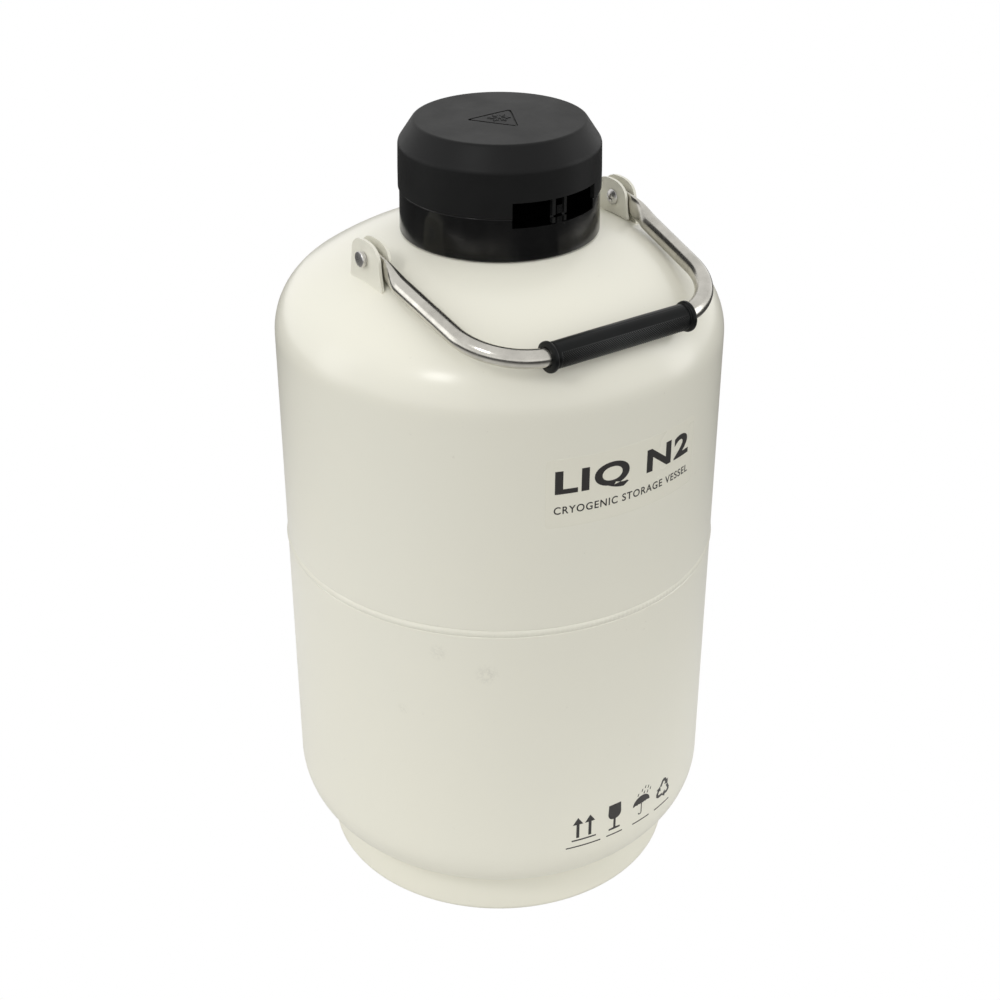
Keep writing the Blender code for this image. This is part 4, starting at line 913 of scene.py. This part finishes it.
def bail_mesh(count):
    bm = bmesh.new()
    rows = []
    for x, v, a, half_t, half_h in bail_stations():
        n = Vector((math.cos(a), -math.sin(a), 0.0))
        power = 1.0 - 0.45 * max(0.0, 1.0 - half_t / half_h)
        row = []
        for j in range(count):
            t = math.tau * j / count
            c, s = math.cos(t), math.sin(t)
            u = half_t * signed_power(c, power)
            w = half_h * signed_power(s, power)
            row.append(bm.verts.new(Vector((x, v, 0.0)) - n * u + Vector((0, 0, w))))
        rows.append(row)
    for one, two in zip(rows, rows[1:]):
        for j in range(count):
            k = (j + 1) % count
            bm.faces.new((one[j], one[k], two[k], two[j]))
    bm.faces.new(rows[0])
    bm.faces.new(list(reversed(rows[-1])))
    return bm


def into_bail(bm):
    b = math.radians(BAIL_REST_DEG)
    bm.transform(Matrix(((1, 0, 0, 0), (0, -math.cos(b), -math.sin(b), 0), (0, -math.sin(b), math.cos(b), PIVOT_Z),
                         (0, 0, 0, 1))))
    return bm


bail = as_object("bail", into_bail(bail_mesh(48)), 45.0)
for sign in (-1, 1):
    combine(bail, ("DIFFERENCE", turned("bail_bore", [(0, -14), (PIN_HOLE_R, -14), (PIN_HOLE_R, 14), (0, 14)], 48, 0,
                                        (sign * PIVOT_X, 0, PIVOT_Z), "X")))
bail.data.shade_smooth()
bail.data.set_sharp_from_angle(angle=math.radians(45))
dress(bail, BAIL_STEEL, "bail", "polished_steel", "bail_tube")


def grip_mesh():
    """Moulded sleeve: end flanges, a smooth band on top with its mould line, diamond checkering below."""
    pitch, around_count, per = 1.5, 36, 4
    count = around_count * per
    g = GRIP_HALF
    ends = [(-g, 9.2), (-g + 0.25, 9.7), (-g + 0.9, GRIP_FLANGE_R), (-g + 1.9, GRIP_FLANGE_R), (-g + 2.5, 9.7),
            (-g + 2.9, 9.1), (-g + 3.05, 8.3), (-g + 3.3, 8.05), (-g + 4.3, 8.05), (-g + 4.6, 8.3), (-g + 4.9, GRIP_R - 0.05),
            (-g + 5.2, GRIP_R), (-g + 5.6, GRIP_R)]
    usable = 2 * (g - 6.0)
    cells = int(usable / pitch)
    start = -cells * pitch / 2
    rows = [(t, r, 0.0) for t, r in ends]
    rows += [(start + pitch * i / per, GRIP_R, 1.0) for i in range(cells * per + 1)]
    rows += [(-t, r, 0.0) for t, r in reversed(ends)]
    bm = bmesh.new()
    grid = []
    for t, r, knurled in rows:
        line = []
        for j in range(count):
            alpha = 360.0 * j / count                   # from the bail plane's front, turning up
            up = (alpha + 180.0) % 360.0 - 180.0
            mask = 0.0
            if knurled:
                mask = smoothstep((abs(((up - 95.0) + 180.0) % 360.0 - 180.0) - 50.0) / 5.0)
            rad = r
            if mask > 0:
                u, w = (t - start) / pitch, j / per
                one = abs(((u + w) / 1.0) % 1.0 - 0.5) * 2
                two = abs(((u - w) / 1.0) % 1.0 - 0.5) * 2
                rad -= 0.52 * mask * (1.0 - min(one, two))
            if knurled and j in (round(count * 92.0 / 360.0),):
                rad -= 0.16
            swell = 0.18 * (1.0 - (t / g) ** 2) if abs(t) < g - 5.0 else 0.0
            a = math.radians(alpha)
            line.append(bm.verts.new((t, (rad + swell) * math.cos(a), (rad + swell) * math.sin(a))))
        grid.append(line)
    for one, two in zip(grid, grid[1:]):
        for j in range(count):
            k = (j + 1) % count
            bm.faces.new((one[j], one[k], two[k], two[j]))
    bore = []                       # the bore follows the tube where its bends run into the grip
    for t in (g, g - 2.0, g - 4.0, g - 6.0, g - 8.0, g - 10.0, g - 12.0, g - 15.0, 0.0, 12.0 - g, 8.0 - g, 5.0 - g, 2.5 - g, -g):
        drop = tube_drop(GRIP_X + t)
        bore.append([bm.verts.new((t, 6.3 * math.cos(math.tau * j / count) - drop, 6.3 * math.sin(math.tau * j / count)))
                     for j in range(count)])
    loop = [grid[-1]] + bore + [grid[0]]
    for one, two in zip(loop, loop[1:]):
        for j in range(count):
            k = (j + 1) % count
            bm.faces.new((one[j], one[k], two[k], two[j]))
    bmesh.ops.translate(bm, verts=bm.verts, vec=(GRIP_X, BAIL_L, 0.0))
    return bm


dress(as_object("hand_grip", into_bail(grip_mesh()), 55.0), RUBBER, "bail", "grip_black", "grip")


# ------------------------------------------------------------------ canisters
def hooked_rod(name, turn):
    path = [(ROD_PITCH_R, 72.0 + i * 42.0, 0.0) for i in range(10)] + [(ROD_PITCH_R, HOOK_Z - 3.0, 0.0)]
    for i in range(1, 9):
        a = math.radians(11.25 * i)
        path.append((ROD_PITCH_R + 3.0 * (1 - math.cos(a)), HOOK_Z - 3.0 + 3.0 * math.sin(a), a))
    for i in range(0, 9):
        a = math.radians(11.25 * i)
        path.append((HOOK_R - 3.0 + 3.0 * math.sin(a), HOOK_Z - 3.0 + 3.0 * math.cos(a), math.pi / 2 + a))
    path += [(HOOK_R, 494.9, math.pi), (HOOK_R, 494.4, math.pi)]
    bm = bmesh.new()
    rows = []
    for i, (rr, z, a) in enumerate(path):
        n = Vector((math.cos(a), 0.0, -math.sin(a)))
        rad = ROD_R * (0.7 if i in (0, len(path) - 1) else 1.0)
        rows.append([bm.verts.new(Vector((rr, 0, z)) + n * (rad * math.cos(math.tau * j / 20))
                                  + Vector((0, rad * math.sin(math.tau * j / 20), 0))) for j in range(20)])
    for one, two in zip(rows, rows[1:]):
        for j in range(20):
            k = (j + 1) % 20
            bm.faces.new((one[j], one[k], two[k], two[j]))
    bm.faces.new(list(reversed(rows[0])))
    bm.faces.new(rows[-1])
    bm.transform(Matrix.Rotation(turn, 4, "Z"))
    return as_object(name, bm, 40.0)


bucket = [(3.0, CAN_BOTTOM_Z, 0.3), (CAN_R, CAN_BOTTOM_Z, 1.6), (CAN_R, CAN_BOTTOM_Z + CAN_H, 0.45),
          (CAN_R - CAN_WALL, CAN_BOTTOM_Z + CAN_H, 0.45), (CAN_R - CAN_WALL, CAN_BOTTOM_Z + CAN_WALL, 1.0),
          (3.0, CAN_BOTTOM_Z + CAN_WALL, 0.3)]
for k in range(6):
    a = math.radians(60 * k)
    body = f"canister_{k + 1}"
    dress(turned(f"cup_{k + 1}", bucket, 64, 0.3, (CAN_PITCH_R * math.cos(a), CAN_PITCH_R * math.sin(a), 0), corner_steps=4),
          ALU, body, "bare_aluminium", f"canister_{k + 1}_bucket")
    dress(hooked_rod(f"rod_{k + 1}", a), PIN_STEEL, body, "polished_steel", f"canister_{k + 1}_rod")


# -------------------------------------------------------- print on the lower side
def onto_body(bm, base, thick, step=1.6):
    """Wraps (arc, height, 0..1) round the body: arc is millimetres from the front towards +X."""
    xs = [v.co.x for v in bm.verts]
    x = math.floor(min(xs) / step) * step + step
    while x < max(xs):
        bmesh.ops.bisect_plane(bm, geom=bm.verts[:] + bm.edges[:] + bm.faces[:], plane_co=(x, 0, 0), plane_no=(1, 0, 0), dist=1e-5)
        x += step
    for v in bm.verts:
        a = -math.pi / 2 + v.co.x / BODY_R
        r = BODY_R + base + thick * v.co.z
        v.co = Vector((r * math.cos(a), r * math.sin(a), v.co.y))
    return bm


def flat(polygons):
    bm = bmesh.new()
    for points in polygons:
        face = bm.faces.new([bm.verts.new((x, y, 0.0)) for x, y in points])
        top = bmesh.ops.extrude_face_region(bm, geom=[face])
        bmesh.ops.translate(bm, verts=[g for g in top["geom"] if isinstance(g, bmesh.types.BMVert)], vec=(0, 0, 1))
    return bm


def lettering(text, width, height, x0, y0, weight, spacing):
    """Plain sans capitals as a flat closed mesh, scaled to the given width and height."""
    curve = bpy.data.curves.new("letters", "FONT")
    curve.body = text
    curve.size = 1.0
    curve.offset = weight
    curve.space_character = spacing
    curve.extrude = 0.5
    curve.resolution_u = 8
    obj = bpy.data.objects.new("letters", curve)
    bpy.context.scene.collection.objects.link(obj)
    graph = bpy.context.evaluated_depsgraph_get()
    mesh = bpy.data.meshes.new_from_object(obj.evaluated_get(graph), depsgraph=graph)
    bm = bmesh.new()
    bm.from_mesh(mesh)
    bpy.data.objects.remove(obj)
    bpy.data.curves.remove(curve)
    bpy.data.meshes.remove(mesh)
    bmesh.ops.remove_doubles(bm, verts=bm.verts, dist=1e-5)
    lo = [min(v.co[i] for v in bm.verts) for i in range(3)]
    hi = [max(v.co[i] for v in bm.verts) for i in range(3)]
    for v in bm.verts:
        v.co = Vector((x0 + (v.co.x - lo[0]) / (hi[0] - lo[0]) * width, y0 + (v.co.y - lo[1]) / (hi[1] - lo[1]) * height,
                       0.0 if v.co.z < 0 else 1.0))
    return bm


def rectangle(x0, y0, x1, y1):
    return [(x0, y0), (x1, y0), (x1, y1), (x0, y1)]


film = recentre(soften([(p[0] + 1000.0, p[1]) for p in rectangle(-63.0, 337.5, 56.5, 386.0)], 3.0, 5, 1.0))
dress(as_object("label_film", onto_body(flat([film]), -0.02, 0.07)), FILM, "vessel", "cream_paint")
dress(as_object("label_large", onto_body(lettering("LIQ N2", 107.0, 19.5, -57.0, 358.5, 0.035, 1.12), 0.03, 0.09)), INK,
      "vessel", "matte_black")
dress(as_object("label_small", onto_body(lettering("CRYOGENIC STORAGE VESSEL", 108.0, 5.4, -57.5, 347.2, 0.012, 1.15),
                                         0.03, 0.09)), INK, "vessel", "matte_black")


def up_arrow(x, y0, y1):
    return [(x - 1.15, y0), (x + 1.15, y0), (x + 1.15, y1 - 6.0), (x + 4.0, y1 - 6.0), (x, y1), (x - 4.0, y1 - 6.0), (x - 1.15, y1 - 6.0)]


def goblet(x, y0, y1):
    right = [(4.9, y0), (4.9, y0 + 1.4), (0.95, y0 + 1.8), (0.95, y0 + 9.4)]
    for i in range(7):
        a = math.radians(-90 + 90 * i / 6)
        right.append((0.95 + 4.6 * math.cos(a) * (1 if i else 0.001), y0 + 14.4 + 5.0 * math.sin(a)))
    right.append((5.2, y1))
    return [(x + u, v) for u, v in right] + [(x - u, v) for u, v in reversed(right)]


def umbrella(x, y0, y1):
    """Canopy with a scalloped edge, and a crook handle, as one outline."""
    out = []
    for i in range(15):
        a = math.radians(180 - 180 * i / 14)
        out.append((x + 8.6 * math.cos(a), y1 - 7.2 + 7.2 * math.sin(a)))
    for mid in (5.8, 2.9):
        for i in range(1, 5):
            a = math.pi * i / 5
            out.append((x + mid + 1.4 * math.cos(a), y1 - 7.2 - 0.5 + 1.1 * math.sin(a)))
        out.append((x + mid - 1.45, y1 - 7.2))
    out += [(x + 0.45, y1 - 6.8), (x + 0.45, y0 + 2.6)]
    for i in range(1, 7):
        a = math.radians(-180 * i / 6)
        out.append((x - 1.4 + 1.85 * math.cos(a), y0 + 2.6 + 1.85 * math.sin(a)))
    for i in range(0, 7):
        a = math.radians(180 + 180 * i / 6)
        out.append((x - 1.4 + 0.95 * math.cos(a), y0 + 2.6 + 0.95 * math.sin(a)))
    out += [(x - 0.45, y1 - 6.8)]
    for mid in (-2.9, -5.8):
        out.append((x + mid + 1.45, y1 - 7.2))
        for i in range(1, 5):
            a = math.pi * i / 5
            out.append((x + mid + 1.4 * math.cos(a), y1 - 7.2 - 0.5 + 1.1 * math.sin(a)))
    return out


def drop(x, y):
    return [(x - 0.65, y - 1.05), (x + 0.35, y - 1.15), (x + 0.95, y + 1.05), (x + 0.15, y + 0.95)]


def loop_arrows(x, y, size):
    """Three bent arrows chasing each other round a triangle."""
    out = []
    for k in range(3):
        a = math.radians(120 * k)
        c, s = math.cos(a), math.sin(a)
        arrow = [(-0.46, 0.40), (-0.20, 0.86), (0.06, 0.98), (0.32, 0.86), (0.50, 0.55), (0.66, 0.64), (0.60, 0.12), (0.12, 0.33),
                 (0.28, 0.42), (0.14, 0.66), (0.05, 0.70), (-0.04, 0.66), (-0.24, 0.28)]
        arrow = [(u, v + 0.02) for u, v in arrow]
        out.append([(x + size * (u * c - v * s), y + size * (u * s + v * c)) for u, v in arrow])
    return out


marks = [up_arrow(-34.8, 80.6, 98.5), up_arrow(-25.4, 80.6, 98.5), rectangle(-39.4, 77.9, -20.4, 79.1)]
marks += [goblet(-4.9, 77.4, 99.9), umbrella(20.4, 77.6, 95.0)]
marks += [drop(20.6, 99.4), drop(23.8, 101.0), drop(26.9, 99.6), drop(22.8, 96.6), drop(26.1, 95.6), drop(16.6, 97.0), drop(29.3, 97.0)]
marks += loop_arrows(45.5, 86.6, 9.2)
for x0, x1, y in ((-43.6, -16.6, 72.3), (-11.6, 2.2, 72.6), (12.0, 29.0, 72.3), (35.3, 54.0, 72.0)):
    marks.append(rectangle(x0, y, x1, y + 1.0))
dress(as_object("handling_marks", onto_body(flat(marks), -0.02, 0.09)), INK, "vessel", "matte_black")

# ---------------------------------------------------------------- stage and light
PHI = math.radians(34.7)


def from_camera_side(az, el):
    """Direction towards a light: az is degrees right of the camera's side, el above level."""
    a, e = math.radians(az), math.radians(el)
    v = Vector((math.sin(a) * math.cos(e), -math.cos(a) * math.cos(e), math.sin(e)))
    return Matrix.Rotation(-PHI, 3, "Z") @ v


def area(name, az, el, distance, width, height, watts, colour=(1, 1, 1), target=(0, 0, 0.33)):
    data = bpy.data.lights.new(name, "AREA")
    data.shape = "RECTANGLE"
    data.size, data.size_y = width, height
    data.energy = watts
    data.color = colour
    obj = bpy.data.objects.new(name, data)
    bpy.context.scene.collection.objects.link(obj)
    d = from_camera_side(az, el)
    obj.location = Vector(target) + d * distance
    obj.rotation_mode = "QUATERNION"
    obj.rotation_quaternion = (-d).to_track_quat("-Z", "Y")
    return obj


area("key_softbox", -33.0, 41.0, 1.9, 0.36, 0.36, 4.4)
area("left_strip", -86.0, 12.0, 1.5, 0.5, 1.1, 1.8)
area("right_strip", 96.0, 12.0, 1.5, 0.5, 1.1, 3.2)

world = bpy.data.worlds.new("studio")
bpy.context.scene.world = world
world.use_nodes = True
nt = world.node_tree
nt.nodes.clear()
out = nt.nodes.new("ShaderNodeOutputWorld")
path = nt.nodes.new("ShaderNodeLightPath")
see, lit = nt.nodes.new("ShaderNodeBackground"), nt.nodes.new("ShaderNodeBackground")
see.inputs["Color"].default_value = (1, 1, 1, 1)
see.inputs["Strength"].default_value = 1.0
coord = nt.nodes.new("ShaderNodeTexCoord")
turn = nt.nodes.new("ShaderNodeVectorRotate")
turn.rotation_type = "Z_AXIS"
turn.inputs["Angle"].default_value = PHI
nt.links.new(coord.outputs["Generated"], turn.inputs["Vector"])
parts = nt.nodes.new("ShaderNodeSeparateXYZ")
nt.links.new(turn.outputs["Vector"], parts.inputs["Vector"])


def wmath(op, a, b=0.0, clamp=False):
    n = nt.nodes.new("ShaderNodeMath")
    n.operation = op
    n.use_clamp = clamp
    for socket, v in ((n.inputs[0], a), (n.inputs[1], b)):
        if hasattr(v, "is_output"):
            nt.links.new(v, socket)
        else:
            socket.default_value = v
    return n.outputs[0]


def wspan(v, a, b, c, d):
    n = nt.nodes.new("ShaderNodeMapRange")
    n.interpolation_type = "SMOOTHSTEP"
    nt.links.new(v, n.inputs["Value"])
    for key, x in (("From Min", a), ("From Max", b), ("To Min", c), ("To Max", d)):
        n.inputs[key].default_value = x
    return n.outputs["Result"]


height = wspan(parts.outputs["Z"], -0.05, 0.38, 0.0, 1.0)
behind = wspan(parts.outputs["Y"], -0.9, 0.5, 1.08, 0.98)
lift = wmath("ADD", wmath("MULTIPLY", height, 0.85), wmath("MULTIPLY", wmath("SUBTRACT", 1.0, height), behind))
leftward = wspan(parts.outputs["X"], -1.0, 1.0, 1.10, 1.06)
nt.links.new(wmath("MULTIPLY", lift, leftward), lit.inputs["Strength"])
lit.inputs["Color"].default_value = (1.0, 0.995, 0.985, 1)
mix = nt.nodes.new("ShaderNodeMixShader")
nt.links.new(path.outputs["Is Camera Ray"], mix.inputs["Fac"])
nt.links.new(lit.outputs[0], mix.inputs[1])
nt.links.new(see.outputs[0], mix.inputs[2])
nt.links.new(mix.outputs[0], out.inputs["Surface"])

floor_bm = bmesh.new()
bmesh.ops.create_grid(floor_bm, x_segments=8, y_segments=8, size=4000.0)
bmesh.ops.translate(floor_bm, verts=floor_bm.verts, vec=(0, 0, -0.2))
floor = as_object("studio_floor", floor_bm, clean=False)
t = Tree("pale_floor")
nt2 = t.nt
away = t.vmath("DISTANCE", t.coord, (-0.16, 0.02, 0.0))
near = t.span(away, 0.40, 0.95, 1.0, 0.0)
grain = t.noise(6.0, 3.0, 0.5)
# painted pool of light, met only by bounced light and reflections: the floor is coloured bright within 0.4 m of a point
# by the vessel and near black beyond 0.95 m; camera rays see it plain white
colour = t.blend(near, (0.045, 0.045, 0.044), (0.72, 0.717, 0.705))
colour = t.blend(t.span(grain, 0.3, 0.7, 0.0, 0.04), colour, (0.6, 0.6, 0.6))
t.set(colour=colour, rough=0.9, spec=0.1)
glow = t.add("ShaderNodeEmission")
glow.inputs["Color"].default_value = (1, 1, 1, 1)
glow.inputs["Strength"].default_value = 1.0
is_camera = t.add("ShaderNodeLightPath").outputs["Is Camera Ray"]
share = t.math("MULTIPLY", is_camera, 1.0)
mixer = t.add("ShaderNodeMixShader")
t.link(share, mixer.inputs["Fac"])
t.link(t.bsdf.outputs[0], mixer.inputs[1])
t.link(glow.outputs[0], mixer.inputs[2])
t.link(mixer.outputs[0], nt2.nodes["Material Output"].inputs["Surface"])
floor.data.materials.append(t.mat)

# --------------------------------------------------------------------- camera
pitch, yaw, roll = 0.520025, 0.000564, 0.001988
F = Vector((math.sin(yaw) * math.cos(pitch), math.cos(yaw) * math.cos(pitch), -math.sin(pitch)))
R = Vector((math.cos(yaw), -math.sin(yaw), 0.0))
U = R.cross(F)
R2, U2 = math.cos(roll) * R + math.sin(roll) * U, -math.sin(roll) * R + math.cos(roll) * U
back = Matrix.Rotation(-PHI, 3, "Z")
R2, U2, F2 = back @ R2, back @ U2, back @ F
camera_data = bpy.data.cameras.new("camera")
camera_data.lens = 62.691
camera_data.sensor_width = 36.0
camera_data.clip_start, camera_data.clip_end = 0.05, 50.0
camera = bpy.data.objects.new("camera", camera_data)
bpy.context.scene.collection.objects.link(camera)
place = back @ Vector((0.0, -1.085574, 0.895128))
camera.matrix_world = Matrix(((R2.x, U2.x, -F2.x, place.x), (R2.y, U2.y, -F2.y, place.y), (R2.z, U2.z, -F2.z, place.z),
                              (0, 0, 0, 1)))
bpy.context.scene.camera = camera
bpy.context.scene.view_settings.view_transform = "Standard"
bpy.context.scene.view_settings.look = "None"
